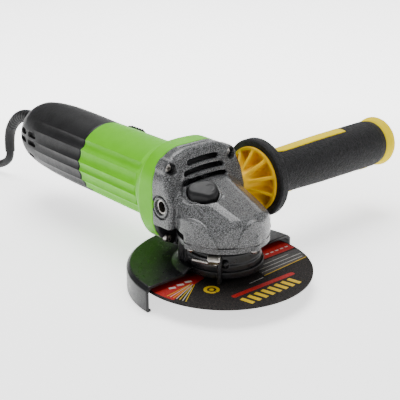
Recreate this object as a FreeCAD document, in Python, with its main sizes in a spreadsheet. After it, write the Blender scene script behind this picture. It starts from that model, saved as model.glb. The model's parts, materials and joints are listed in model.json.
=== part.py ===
import FreeCAD, Part
import math
import os
import re

import Sketcher
from FreeCAD import Placement, Rotation, Vector

# An angle grinder for 125 mm discs, in millimetres.
# The origin is the centre of the spindle's free end, +Z runs up the spindle, +X points out of the
# gear head, away from the cord, and +Y points along the side handle.

SIZES = {
    # frame of the tool
    "rotor_z": 56.0,
    "handle_x": -26.0,
    "joint_x": -34.2,
    "joint_z": 57.6,
    "joint_half_width": 34.9,
    "joint_half_height": 35.6,
    "joint_corner": 24.5,
    "barrel_radius": 28.7,
    "barrel_front": -62.4,
    "barrel_back": -134.4,
    "cover_end": -236.8,
    # spindle and gear pair
    "thread_radius": 7.0,
    "disc_radius": 62.5,
    "disc_top": 10.8,
    "disc_thickness": 1.2,
    "disc_bore": 11.1,
    "gear_radius": 23.0,
    "tooth_face": 8.0,
    "gear_bore": 5.5,
    "lock_circle": 10.6,
    "lock_pin_radius": 2.0,
    # gear head
    "head_radius": 32.0,
    "head_floor": 37.8,
    "box_floor": 34.1,
    "neck_radius": 22.5,
    "neck_bottom": 14.5,
    "boss_circle": 29.4,
    "boss_radius": 4.8,
    # guard
    "guard_radius": 67.4,
    "guard_top": 16.0,
    "guard_bottom": -2.0,
    "guard_sheet": 1.6,
    "collar_inner": 22.8,
    "collar_outer": 25.6,
    "collar_top": 30.5,
    "clamp_angle": -49.0,
    # side handle
    "hub_start": 33.0,
    "rib_face": 53.0,
    "rib_radius": 24.0,
    "rim_radius": 29.6,
    "grip_start": 70.0,
    "grip_end": 187.0,
    "handle_end": 200.0,
    # motor
    "core_front": -66.0,
    "core_back": -110.0,
    "core_radius": 17.0,
    "stator_radius": 25.2,
    "commutator_radius": 11.0,
    # switch slider
    "slider_angle": 38.0,
    # cord
    "cord_radius": 3.6,
    "floor_z": -2.0,
}

GEAR_TEETH = 30
PINION_TEETH = 10
LOCK_HOLES = 4

doc = FreeCAD.newDocument("angle_grinder")
sheet = doc.addObject("Spreadsheet::Sheet", "dims")
for row, (alias, value) in enumerate(SIZES.items(), start=1):
    sheet.set(f"A{row}", alias)
    sheet.set(f"B{row}", str(value))
    sheet.setAlias(f"B{row}", alias)
doc.recompute()

nodes = []


def bound(expression):
    """The expression with every name of the sheet written the way FreeCAD reads it."""
    return re.sub(
        r"[a-z_]+",
        lambda word: "dims." + word[0] if word[0] in SIZES else word[0],
        str(expression),
    )


def size(expression):
    """The value of an expression over the sheet's names, in millimetres."""
    return float(sheet.evalExpression(bound(expression)))


TURNS = {
    "Z": Rotation(),
    "-Z": Rotation(Vector(1, 0, 0), 180),
    "X": Rotation(Vector(0, 1, 0), 90),
    "-X": Rotation(Vector(0, 1, 0), -90),
    "Y": Rotation(Vector(1, 0, 0), -90),
    "-Y": Rotation(Vector(1, 0, 0), 90),
}


def place(item, at, along="Z"):
    """Turn the item's own Z axis along the given one and bind where its origin stands."""
    turn = TURNS[along] if isinstance(along, str) else along
    item.Placement = Placement(Vector(), turn)
    for axis, expression in zip("xyz", at):
        item.setExpression("Placement.Base." + axis, bound(expression))


def node(item):
    """Mark an object as one of the pieces that are written out."""
    nodes.append(item)
    return item


def profile(body, plane, corners, name="profile"):
    """A closed polygon sketch on one of the body's planes, each corner bound to the sheet."""
    sketch = body.newObject("Sketcher::SketchObject", name)
    plane = [face for face in body.Origin.OriginFeatures if face.Role == plane][0]
    sketch.AttachmentSupport = [(plane, "")]
    sketch.MapMode = "FlatFace"
    places = [Vector(size(across), size(up), 0) for across, up in corners]
    for start, end in zip(places, places[1:] + places[:1]):
        sketch.addGeometry(Part.LineSegment(start, end), False)
    for line in range(len(places)):
        sketch.addConstraint(Sketcher.Constraint("Coincident", line, 2, (line + 1) % len(places), 1))
    for line, corner in enumerate(corners):
        for kind, expression in zip(("DistanceX", "DistanceY"), corner):
            value = size(expression)
            number = sketch.addConstraint(Sketcher.Constraint(kind, -1, 1, line, 1, value))
            sketch.setExpression(f"Constraints[{number}]", bound(expression))
    return sketch


def turned(name, corners, at=(0, 0, 0), along="Z"):
    """A body turned about its own Z axis from corners of (radius, height)."""
    body = doc.addObject("PartDesign::Body", name)
    sketch = profile(body, "XZ_Plane", corners)
    revolution = body.newObject("PartDesign::Revolution", "turning")
    revolution.Profile = sketch
    revolution.ReferenceAxis = (sketch, ["V_Axis"])
    revolution.Angle = 360
    place(body, at, along)
    return body


def ring(name, inner, outer, low, high, at=(0, 0, 0), along="Z"):
    """A plain turned ring between two radii and two heights."""
    corners = [(inner, low), (outer, low), (outer, high), (inner, high)]
    return turned(name, corners, at, along)


def prism(name, plane, corners, half_depth, at=(0, 0, 0), along="Z"):
    """A polygon padded both ways from one of the body's planes."""
    body = doc.addObject("PartDesign::Body", name)
    pad = body.newObject("PartDesign::Pad", "pad")
    pad.Profile = profile(body, plane, corners)
    pad.Midplane = True
    pad.setExpression("Length", bound(f"2 * ({half_depth})"))
    place(body, at, along)
    return body


def rod(name, radius, low, high, at=(0, 0, 0), along="Z"):
    """A plain cylinder on its own Z axis, from one height to another."""
    cylinder = doc.addObject("Part::Cylinder", name)
    cylinder.setExpression("Radius", bound(radius))
    cylinder.setExpression("Height", bound(f"({high}) - ({low})"))
    turn = TURNS[along] if isinstance(along, str) else along
    lift = turn.multVec(Vector(0, 0, 1))
    shifted = [f"({place_}) + ({low}) * {part:.9f}" for place_, part in zip(at, lift)]
    place(cylinder, shifted, along)
    return cylinder


def block(name, low, high, turn=None):
    """A box between two corners, turned about the X axis through the rotor if asked."""
    box = doc.addObject("Part::Box", name)
    for side, start, end in zip(("Length", "Width", "Height"), low, high):
        box.setExpression(side, bound(f"({end}) - ({start})"))
    place(box, low)
    if turn is not None:
        spun = doc.addObject("Part::Compound", name + "_turned")
        spun.Links = [box]
        centre = Vector(0, 0, size("rotor_z"))
        spun.Placement = Placement(Vector(), Rotation(Vector(1, 0, 0), turn), centre)
        return spun
    return box


def cut(name, base, *tools):
    """The base with the tools taken away."""
    result = doc.addObject("Part::Cut", name)
    result.Base = base
    result.Tool = tools[0] if len(tools) == 1 else fuse(name + "_tools", *tools)
    return result


def fuse(name, *items):
    """Several solids made into one."""
    result = doc.addObject("Part::MultiFuse", name)
    result.Shapes = list(items)
    return result


def group(name, items):
    """Separate solids of one kind kept in one node."""
    result = doc.addObject("Part::Compound", name)
    result.Links = list(items)
    return result


def shaped(name, shape, at=(0, 0, 0), along="Z"):
    """A piece whose shape is worked out in code, about its own origin."""
    feature = doc.addObject("Part::Feature", name)
    feature.Shape = shape
    place(feature, at, along)
    return feature


def polar(radius, angle, height=0.0):
    """A point at a radius and an angle in degrees about the Z axis."""
    turn = math.radians(angle)
    return Vector(radius * math.cos(turn), radius * math.sin(turn), height)


# ---------------------------------------------------------------- shells of the body


def rounded_bar(name, start, end, shrink=0):
    """A bar along X with the rounded square outline of the joint between the housings."""
    body = doc.addObject("PartDesign::Body", name)
    half_width = f"joint_half_width - {shrink}"
    half_height = f"joint_half_height - {shrink}"
    pad = body.newObject("PartDesign::Pad", "pad")
    pad.Profile = profile(body, "YZ_Plane", [
        (f"-({half_width})", f"joint_z - ({half_height})"),
        (half_width, f"joint_z - ({half_height})"),
        (half_width, f"joint_z + ({half_height})"),
        (f"-({half_width})", f"joint_z + ({half_height})"),
    ])
    pad.setExpression("Length", bound(f"({end}) - ({start})"))
    doc.recompute()
    corners = [
        f"Edge{number}"
        for number, edge in enumerate(pad.Shape.Edges, start=1)
        if abs(edge.tangentAt(edge.FirstParameter).x) > 0.99
    ]
    rounding = body.newObject("PartDesign::Fillet", "rounding")
    rounding.Base = (pad, corners)
    rounding.setExpression("Radius", bound(f"joint_corner - {shrink}"))
    place(body, (start, 0, 0))
    return body


def make_motor_housing():
    """The green motor housing: a rounded square flange turned down to a round barrel."""
    bar = rounded_bar("motor_bar", "barrel_front - 1", "joint_x")
    turning = turned("motor_turning", [
        (0, "barrel_front - 2"),
        ("barrel_radius", "barrel_front - 2"),
        ("barrel_radius", "barrel_front"),
        (30.2, "barrel_front + 5"),
        (33.5, "barrel_front + 10"),
        (39.5, "barrel_front + 15"),
        (47, "barrel_front + 18.5"),
        (47, "joint_x + 1"),
        (0, "joint_x + 1"),
    ], (0, 0, "rotor_z"), "X")
    flare = doc.addObject("Part::MultiCommon", "motor_flare")
    flare.Shapes = [bar, turning]
    barrel = rod("motor_barrel", "barrel_radius", "barrel_back", "barrel_front", (0, 0, "rotor_z"), "X")
    spigot = rod("motor_spigot", 25.3, "barrel_back - 5", "barrel_back + 1", (0, 0, "rotor_z"), "X")
    seat = rod("motor_bearing_seat", 13.4, "barrel_back - 13", "barrel_back", (0, 0, "rotor_z"), "X")
    body = fuse("motor_solid", flare, barrel, spigot, seat)
    inside = turned("motor_inside", [
        (0, "barrel_back - 1"),
        (22.8, "barrel_back - 1"),
        (22.8, "barrel_back + 1.4"),
        (25.4, "barrel_back + 1.4"),
        (25.4, -62),
        (26.5, -60),
        (26.5, "joint_x + 1"),
        (0, "joint_x + 1"),
    ], (0, 0, "rotor_z"), "X")
    back = "barrel_back"
    bearing_hole = rod(
        "motor_bearing_hole",
        11.8,
        f"{back} - 13.2",
        f"{back} - 5.4",
        (0, 0, "rotor_z"),
        "X",
    )
    shaft_hole = rod("motor_shaft_hole", 6.5, f"{back} - 6", back, (0, 0, "rotor_z"), "X")
    air_holes = [
        rod(f"motor_air_{number}", 3.4, f"{back} - 6", back, (0, y, f"rotor_z + {z}"), "X")
        for number, (y, z) in enumerate([(0, -18), (-12.7, -12.7), (-18, 0), (-12.7, 12.7), (0, 18)])
    ]
    angle = size("slider_angle")
    rod_slot = block(
        "motor_rod_slot",
        (f"{back} - 6", 17.8, "rotor_z - 3"),
        (f"{back} + 8", 23.6, "rotor_z + 3"),
        angle,
    )
    leg_slot = block(
        "motor_leg_slot",
        (f"{back} + 3", 20, "rotor_z - 2.6"),
        (f"{back} + 20", 32, "rotor_z + 2.6"),
        angle,
    )
    slider_bed = block(
        "motor_slider_bed",
        (f"{back} - 1", 27.3, "rotor_z - 8"),
        (f"{back} + 32", 34, "rotor_z + 8"),
        angle,
    )
    screw_holes = [
        rod(f"motor_screw_hole_{number}", 1.98, "joint_x - 9", "joint_x + 1", (0, y, z), "X")
        for number, (y, z) in enumerate(HOUSING_SCREWS)
    ]
    screw_holes.append(rod("motor_cover_screw_hole", 1.98, 25, 40, (COVER_SCREW_X, 0, 0)))
    holes = [inside, bearing_hole, shaft_hole, *air_holes, rod_slot, leg_slot, slider_bed, *screw_holes]
    node(cut("motor_housing", body, *holes))


HOUSING_SCREWS = [(27, 82.3), (-27, 82.3), (27, 30.8), (-27, 30.8)]
COVER_WALL = 3.0
COVER_OUTLINE = [
    # radius, distance behind the front edge of the cover
    (28.7, 0.0),
    (28.9, 26.0),
    (28.5, 52.0),
    (27.4, 70.0),
    (25.2, 86.0),
    (22.0, 95.6),
    (17.5, 101.0),
    (14.0, 102.4),
]


def make_rear_cover():
    """The black rear cover: one tapered sleeve with a rounded end and slots for the cooling air."""
    at = (0, 0, "rotor_z")
    outline = [(radius, f"barrel_back - {behind}") for radius, behind in COVER_OUTLINE]
    outer = turned("cover_outer", [(0, "cover_end"), (0, "barrel_back"), *outline], at, "X")
    inner = [
        (radius - COVER_WALL, f"barrel_back - {behind * (1 - COVER_WALL / 102.4)}")
        for radius, behind in COVER_OUTLINE
    ]
    inner[0] = (inner[0][0], "barrel_back + 1")
    hollow = turned("cover_hollow", [
        (0, f"cover_end + {COVER_WALL}"),
        (0, "barrel_back + 1"),
        *inner,
    ], at, "X")
    exit_hole = rod("cover_exit", 5.5, "cover_end - 3", "cover_end + 8", (0, 0, RELIEF_EXIT_Z), "X")
    slots = []
    for side in (1, -1):
        for row, height in enumerate((5.4, -1.4)):
            for column, x in enumerate((-205.0, -222.0)):
                low, high = sorted((side * 14, side * 34))
                slot = block(
                    f"cover_slot_{side + 1}_{row}_{column}",
                    (x - 6.4, low, f"rotor_z + {height}"),
                    (x + 6.4, high, f"rotor_z + {height + 4.2}"),
                )
                slots.append(slot)
    screw_hole = rod("cover_screw_hole", 2.1, 24, 40, (COVER_SCREW_X, 0, 0), "Z")
    head_hole = rod("cover_head_hole", 3.9, 20, 29.4, (COVER_SCREW_X, 0, 0), "Z")
    node(cut("rear_cover", outer, hollow, exit_hole, screw_hole, head_hole, *slots))


RELIEF_EXIT_Z = 64.6
COVER_SCREW_X = -137.0


def make_gear_housing():
    """The cast gear head: a round gear case under a shoulder that bolts to the motor housing."""
    case = turned("head_case", [
        (0, "head_floor"),
        ("head_radius", "head_floor"),
        ("head_radius", 54.5),
        (29.6, 58.6),
        (26, 61.5),
        (26, 76),
        (0, 76),
    ])
    deck = prism("head_deck", "XZ_Plane", [
        (-60, 84.7),
        (40, 52.5),
        (40, 110),
        (-60, 110),
    ], 60)
    flanks = [
        prism(f"head_flank_{side + 1}", "YZ_Plane", [
            (side * 17, 72),
            (side * 33.5, 56.5),
            (side * 33.5, 90),
            (side * 17, 90),
        ], 60)
        for side in (1, -1)
    ]
    case_cut = cut("head_case_cut", case, deck, *flanks)
    shoulder = rounded_bar("head_shoulder", "joint_x", "joint_x + 20")
    slope = prism("head_slope", "XZ_Plane", [
        (-26.4, 97),
        (-18.6, 71.8),
        (-15, 60),
        (-15, 44),
        (-24.4, 40),
        (-24.4, 0),
        (0, 0),
        (0, 97),
    ], 50)
    floor_round = rod("head_floor_round", 34.3, -5, "head_floor")
    behind = block("head_floor_behind", (-60, -50, -10), (-27.2, 50, 50))
    floor_cut = cut("head_floor_cut", floor_round, behind)
    sweep_round = rod("head_sweep", 32, 0, "box_floor")
    shoulder_cut = cut("head_shoulder_cut", shoulder, slope, floor_cut, sweep_round)
    left_boss = rod("head_left_boss", 8.1, 0, "hub_start - 0.3", ("handle_x", 0, "rotor_z"), "Y")
    right_boss = rod("head_right_boss", 8.1, 0, 31.2, ("handle_x", 0, "rotor_z"), "-Y")
    arches = []
    for angle in (0, 90, -90):
        spot = polar(size("boss_circle"), angle)
        at = (
            f"boss_circle * {math.cos(math.radians(angle)):.6f}",
            f"boss_circle * {math.sin(math.radians(angle)):.6f}",
            0,
        )
        arches.append(rod(f"head_arch_{angle + 90}", "boss_radius", "head_floor", 47.5, at))
        top = doc.addObject("Part::Sphere", f"head_arch_top_{angle + 90}")
        top.setExpression("Radius", bound("boss_radius"))
        top.Placement = Placement(Vector(spot.x, spot.y, 47.5), Rotation())
        arches.append(top)
    body = fuse("head_solid", case_cut, shoulder_cut, left_boss, right_boss, *arches)

    chamber = turned("head_chamber", [
        (0, "head_floor - 1"),
        (27.2, "head_floor - 1"),
        (27.2, 41),
        (25.6, 41),
        (25.6, 50.5),
        (20, 54.6),
        (13, 57.0),
        (7.8, 57.0),
        (7.8, 53.8),
        (0, 53.8),
    ])
    needle_seat = rod("head_needle_seat", 6, 53, 60.8)
    needle_top = rod("head_needle_top", 4.6, 60, 61.8)
    pinion_bore = turned("head_pinion_bore", [
        (0, "joint_x - 1"),
        (13, "joint_x - 1"),
        (13, -26),
        (10.4, -26),
        (10.4, -21.5),
        (8.9, -18),
        (8.9, -9.4),
        (0, -9.4),
    ], (0, 0, "rotor_z"), "X")
    boss_core = rod("head_boss_core", 7.8, 52, 67)
    boss_wall = cut("head_boss_wall", boss_core, rod("head_boss_low", 9, 50, 53.8))
    pinion_space = cut("head_pinion_space", pinion_bore, boss_wall)
    stud_hole = rod("head_stud_hole", 4, 15, 40, ("handle_x", 0, "rotor_z"), "Y")
    right_hole = rod("head_right_hole", 4, 15, 40, ("handle_x", 0, "rotor_z"), "-Y")
    left_face = rod("head_left_face", 8.19, "hub_start - 0.3", 40, ("handle_x", 0, "rotor_z"), "Y")
    right_face = rod("head_right_face", 8.19, "hub_start - 2.5", 40, ("handle_x", 0, "rotor_z"), "-Y")
    screw_tools = []
    for number, (y, z) in enumerate(HOUSING_SCREWS):
        screw_tools.append(rod(f"head_screw_hole_{number}", 2.2, "joint_x - 1", -20, (0, y, z), "X"))
        screw_tools.append(rod(f"head_screw_pocket_{number}", 4.2, -29, -10, (0, y, z), "X"))
    box_holes = [
        rod(
            f"head_box_hole_{angle + 90}",
            1.98,
            "head_floor - 1",
            47.5,
            tuple(polar(size("boss_circle"), angle)),
        )
        for angle in (0, 90, -90)
    ]
    well = lock_outline(0.45, 63.4, 80)
    pin_hole = rod("head_pin_hole", "lock_pin_radius + 0.08", 50, 70, LOCK_PIN_AT)
    vents = []
    for number, (z, x, half) in enumerate([(83.2, -22.5, 14.4), (77.8, -20.8, 17.3), (71.9, -19.0, 15.3)]):
        vents.append(block(f"head_vent_{number}", (x - 3.6, -half, z - 1.5), (x + 9, half, z + 1.5)))
    tools = [chamber, needle_seat, needle_top, pinion_space, stud_hole, right_hole, left_face, right_face]
    tools += [*screw_tools, *box_holes, shaped("head_well", well), pin_hole, *vents]
    node(cut("gear_housing", body, *tools))


LOCK_CENTRE = Vector(-8.0, -12.0, 0)
LOCK_SLANT = 45.0
LOCK_PIN_ANGLE = -124.6
LOCK_PIN_AT = tuple(polar(size("lock_circle"), LOCK_PIN_ANGLE))


def lock_outline(grow, low, high):
    """The lock button's rounded outline, wider at one end, between two heights."""
    axis = polar(1, LOCK_SLANT)
    wide = LOCK_CENTRE + axis * 3.4
    narrow = LOCK_CENTRE - axis * 5.4
    big = Part.makeCylinder(7.0 + grow, high - low, wide + Vector(0, 0, low))
    small = Part.makeCylinder(5.2 + grow, high - low, narrow + Vector(0, 0, low))
    side = polar(1, LOCK_SLANT + 90)
    corners = [
        wide + side * (7.0 + grow),
        narrow + side * (5.2 + grow),
        narrow - side * (5.2 + grow),
        wide - side * (7.0 + grow),
    ]
    corners = [corner + Vector(0, 0, low) for corner in corners]
    web = Part.Face(Part.makePolygon([*corners, corners[0]])).extrude(Vector(0, 0, high - low))
    return big.fuse([small, web]).removeSplitter()


# ---------------------------------------------------------------- fasteners


def cross_screw(name, radius, length, head_radius, head_height, at, along):
    """A pan head screw with a cross recess. Its own Z axis points the way it is driven."""
    shape = turned(name + "_blank", [
        (0, f"-{head_height}"),
        (f"{head_radius} * 0.8", f"-{head_height}"),
        (head_radius, f"-{head_height} * 0.45"),
        (head_radius, 0),
        (radius, 0),
        (radius, f"{length} - 1"),
        (f"{radius} * 0.5", length),
        (0, length),
    ], at, along)
    turn = TURNS[along]
    bits = []
    for number, (long_side, short_side) in enumerate([(1.15, 0.28), (0.28, 1.15)]):
        bit = doc.addObject("Part::Box", f"{name}_bit_{number}")
        bit.Length = long_side * head_radius
        bit.Width = short_side * head_radius
        bit.Height = head_height
        corner = Vector(-bit.Length.Value / 2, -bit.Width.Value / 2, -head_height * 1.5)
        bit.Placement = Placement(turn.multVec(corner) + Vector(*[size(value) for value in at]), turn)
        bits.append(bit)
    return cut(name, shape, *bits)


def make_screws():
    housing = [
        cross_screw(f"housing_screw_{number}", 1.95, 14, 3.2, 2.4, (-28.98, y, z), "-X")
        for number, (y, z) in enumerate(HOUSING_SCREWS)
    ]
    node(group("gear_housing_screws", housing))
    box = []
    for number, angle in enumerate((0, 90, -90)):
        spot = polar(size("boss_circle"), angle)
        box.append(
            cross_screw(
                f"box_screw_{number}",
                1.95,
                13,
                3.1,
                2.6,
                (spot.x, spot.y, "box_floor - 0.02"),
                "Z",
            ),
        )
    node(group("bearing_box_screws", box))
    node(cross_screw("rear_cover_screw", 1.95, 5.6, 2.5, 2.0, (COVER_SCREW_X, 0, 29.38), "Z"))


# ---------------------------------------------------------------- gear head inside


def involute(angle):
    return math.tan(angle) - angle


def tooth_solid(pitch_radius, teeth, cone_angle, face, addendum, dedendum, backlash):
    """One straight bevel tooth about its own Z axis, its apex at the origin and its back at -Z.

    The outline is an involute on the back cone. Every edge runs to the apex.
    """
    module = 2 * pitch_radius / teeth
    reach = pitch_radius / math.sin(cone_angle)
    virtual = pitch_radius / math.cos(cone_angle)
    pressure = math.radians(20)
    base = virtual * math.cos(pressure)
    half_angle = (math.pi * module / 2 - backlash) / 2 / virtual
    outline = []
    for offset in (-dedendum, -0.55 * dedendum, 0.0, 0.5 * addendum, addendum):
        radius = virtual + offset
        if radius > base:
            local = half_angle + involute(pressure) - involute(math.acos(base / radius))
        else:
            local = half_angle + involute(pressure)
        outline.append((offset, radius * math.sin(max(local, 0.02))))
    along = Vector(math.sin(cone_angle), 0, -math.cos(cone_angle))
    outward = Vector(math.cos(cone_angle), 0, math.sin(cone_angle))
    side = Vector(0, 1, 0)
    wires = []
    for scale in (1.0, 1.0 - face / reach):
        left = [(along * reach + outward * rise + side * half) * scale for rise, half in outline]
        right = [(along * reach + outward * rise - side * half) * scale for rise, half in reversed(outline)]
        wires.append(Part.makePolygon([*left, *right, left[0]]))
    return Part.makeLoft(wires, True, True)


def bevel_wheel(pitch_radius, teeth, mate_radius, blank_corners, backlash):
    """A bevel wheel about its own Z axis, apex at the origin, teeth fused to a turned blank."""
    cone_angle = math.atan2(pitch_radius, mate_radius)
    module = 2 * pitch_radius / teeth
    face = size("tooth_face")
    wires = [Vector(radius, 0, height) for radius, height in blank_corners]
    blank = Part.Face(Part.makePolygon([*wires, wires[0]])).revolve(Vector(), Vector(0, 0, 1), 360)
    tooth = tooth_solid(pitch_radius, teeth, cone_angle, face, 0.45 * module, 1.38 * module, backlash)
    solids = []
    for number in range(teeth):
        copy = tooth.copy()
        copy.rotate(Vector(), Vector(0, 0, 1), 360 * (number + 0.5) / teeth)
        solids.append(copy)
    return blank.fuse(solids)


def cone_line(pitch_radius, mate_radius, drop, share):
    """A point under the pitch cone, at a share of the way from the apex."""
    cone_angle = math.atan2(pitch_radius, mate_radius)
    reach = math.hypot(pitch_radius, mate_radius)
    radius = (reach * math.sin(cone_angle) - drop * math.cos(cone_angle)) * share
    height = (-reach * math.cos(cone_angle) - drop * math.sin(cone_angle)) * share
    return radius, height


def make_gears():
    """The bevel gear under the pinion. Both pitch cones meet where the spindle and rotor axes cross."""
    gear_radius = size("gear_radius")
    pinion_radius = gear_radius * PINION_TEETH / GEAR_TEETH
    reach = math.hypot(gear_radius, pinion_radius)
    inner_share = 1 - size("tooth_face") / reach
    module = 2 * gear_radius / GEAR_TEETH
    bore = size("gear_bore")
    root = 1.15 * module
    axis = size("rotor_z")

    outer_root = cone_line(gear_radius, pinion_radius, root, 1.0)
    inner_root = cone_line(gear_radius, pinion_radius, root, inner_share)
    web_top = 50.2 - axis
    gear = bevel_wheel(gear_radius, GEAR_TEETH, pinion_radius, [
        (bore, 40.6 - axis),
        (12, 40.6 - axis),
        (20, 42.5 - axis),
        outer_root,
        inner_root,
        (inner_root[0] - 0.6, web_top),
        (bore, web_top),
    ], 0.9)
    holes = []
    for number in range(LOCK_HOLES):
        angle = LOCK_PIN_ANGLE + number * 360 / LOCK_HOLES
        spot = polar(size("lock_circle"), angle, 30 - axis)
        holes.append(Part.makeCylinder(size("lock_pin_radius") + 0.5, 30, spot))
    gear = gear.cut(holes)
    node(shaped("bevel_gear", gear, (0, 0, "rotor_z")))

    outer_root = cone_line(pinion_radius, gear_radius, root, 1.0)
    inner_root = cone_line(pinion_radius, gear_radius, root, inner_share)
    pinion = bevel_wheel(pinion_radius, PINION_TEETH, gear_radius, [
        (4, -24.4),
        (5.6, -24.4),
        outer_root,
        inner_root,
        (4, inner_root[1]),
    ], 0.9)
    pinion = pinion.cut(Part.makeCylinder(4, 40, Vector(0, 0, -40)))
    node(
        shaped(
            "pinion",
            pinion,
            (0, 0, "rotor_z"),
            TURNS["X"].multiply(Rotation(Vector(0, 0, 1), PINION_PHASE)),
        ),
    )
    node(turned("pinion_nut", hexagon_rings(3.5, 5.2, -14.8, -11.0), (0, 0, "rotor_z"), "X"))


# The pinion has a tooth straight down, where the gear has a gap.
PINION_PHASE = 180.0 / PINION_TEETH


def hexagon_rings(inner, outer, low, high):
    """Corners of a nut turned with a chamfered rim."""
    return [(inner, low), (outer, low), (outer, high - 0.8), (outer - 0.8, high), (inner, high)]


def make_spindle():
    node(turned("spindle", [
        (0, 0),
        ("thread_radius - 0.5", 0),
        ("thread_radius", 0.5),
        ("thread_radius", 16.5),
        (8.5, 16.5),
        (8.5, 23),
        (6, 23),
        (6, 40.6),
        ("gear_bore", 40.6),
        ("gear_bore", 51),
        (4.8, 51),
        (4.8, 52),
        ("gear_bore", 52),
        ("gear_bore", 53),
        (4, 53),
        (4, 60.8),
        (3.6, 61.2),
        (0, 61.2),
    ]))
    node(ring("gear_retaining_ring", 4.8, 6.8, 51.0, 52.0))
    node(ring("lower_bearing_outer", 13.3, 16, 23, 33))
    node(bearing_inner("lower_bearing_inner", 6, 8.8, 13.3, 23, 33, 9, (0, 0, 0), "Z"))
    node(ring("bearing_retainer", 10.5, 18, 33, 36))
    node(ring("needle_bearing", 4.05, 6, 53.8, 60.8))
    node(turned("inner_flange", [
        ("thread_radius + 0.05", "disc_top - 1.0"),
        ("disc_bore - 0.1", "disc_top - 1.0"),
        ("disc_bore - 0.1", "disc_top"),
        (20, "disc_top"),
        (20, 13.2),
        (18.6, 13.7),
        (10.6, 13.7),
        (10.6, 16.5),
        ("thread_radius + 0.05", 16.5),
    ]))


def bearing_inner(name, bore, race, outer_race, low, high, count, at, along):
    """An inner race with its ring of balls."""
    inner = ring(name + "_race", bore, race, low, high, at, along)
    ball_radius = (outer_race - race) / 2 - 0.06
    turn = TURNS[along]
    balls = []
    for number in range(count):
        ball = doc.addObject("Part::Sphere", f"{name}_ball_{number}")
        ball.Radius = ball_radius
        spot = polar(race + ball_radius - 0.005, 360 * number / count, (low + high) / 2)
        ball.Placement = Placement(turn.multVec(spot) + Vector(*[size(value) for value in at]), turn)
        balls.append(ball)
    return fuse(name, inner, *balls)


def make_bearing_box():
    """The flanged neck that carries the lower spindle bearing and the guard."""
    body = turned("box_blank", [
        (12, "neck_bottom"),
        ("neck_radius", "neck_bottom"),
        ("neck_radius", 20.5),
        ("neck_radius - 1.4", 21.3),
        ("neck_radius - 1.4", 24.3),
        ("neck_radius", 25.1),
        ("neck_radius", "box_floor"),
        ("head_radius", "box_floor"),
        ("head_radius", "head_floor"),
        (27, "head_floor"),
        (27, 40.4),
        (18, 40.4),
        (18, 33),
        (16, 33),
        (16, 23),
        (12, 22.6),
    ])
    flat = block("box_flat", (-50, -50, 30), (-27, 50, 45))
    bulges = []
    holes = []
    for angle in (0, 90, -90):
        at = tuple(polar(size("boss_circle"), angle))
        bulges.append(rod(f"box_bulge_{angle + 90}", "boss_radius", "box_floor", "head_floor", at))
        holes.append(rod(f"box_hole_{angle + 90}", 2.2, "box_floor - 1", "head_floor + 1", at))
    hollow = rod("box_hollow", 17, 34, 39)
    node(cut("bearing_box", cut("box_wide", fuse("box_solid", body, *bulges), flat), hollow, *holes))


def make_lock():
    button = lock_outline(0, 67.0, 71.0)
    rim = [edge for edge in button.Edges if abs(edge.CenterOfMass.z - 71.0) < 0.01]
    button = button.makeFillet(1.4, rim)
    top = Vector(*LOCK_PIN_AT)
    socket = Part.makeCylinder(size("lock_pin_radius"), 2.4, top + Vector(0, 0, 66.9))
    node(shaped("lock_button", button.cut(socket)))
    node(turned("lock_pin", [
        (0, 50.9),
        ("lock_pin_radius - 0.5", 50.9),
        ("lock_pin_radius", 51.4),
        ("lock_pin_radius", 69.3),
        (0, 69.3),
    ], LOCK_PIN_AT))
    node(spring("lock_spring", 3.0, 0.35, 63.42, 66.98, 3.5, LOCK_PIN_AT, "Z"))


def spring(name, radius, wire_radius, low, high, turns, at, along):
    """A coil spring standing on its own Z axis between two heights."""
    height = high - low - 2 * wire_radius
    helix = Part.makeHelix(height / turns, height, radius)
    circle = Part.Wire(Part.makeCircle(wire_radius, Vector(radius, 0, 0), Vector(0, 1, 0)))
    coil = Part.Wire(helix.Edges).makePipeShell([circle], True, True)
    lift = TURNS[along].multVec(Vector(0, 0, low + wire_radius))
    shifted = [f"({start}) + {step:.9f}" for start, step in zip(at, lift)]
    return shaped(name, coil, shifted, along)


# ---------------------------------------------------------------- disc, flanges and guard


def make_disc():
    node(ring("cutting_disc", 12.4, "disc_radius", "disc_top - disc_thickness", "disc_top"))
    node(ring("disc_centre_ring", "disc_bore", 12.4, "disc_top - disc_thickness", "disc_top"))
    nut = turned("nut_blank", [
        ("thread_radius + 0.05", 2.5),
        (14, 2.5),
        (19.5, 5.5),
        (20, 6.0),
        (20, "disc_top - disc_thickness"),
        ("thread_radius + 0.05", "disc_top - disc_thickness"),
    ])
    holes = [rod(f"nut_hole_{angle}", 2.5, 0, 8, tuple(polar(15, angle))) for angle in (0, 90, 180, 270)]
    node(cut("flange_nut", nut, *holes))


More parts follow.
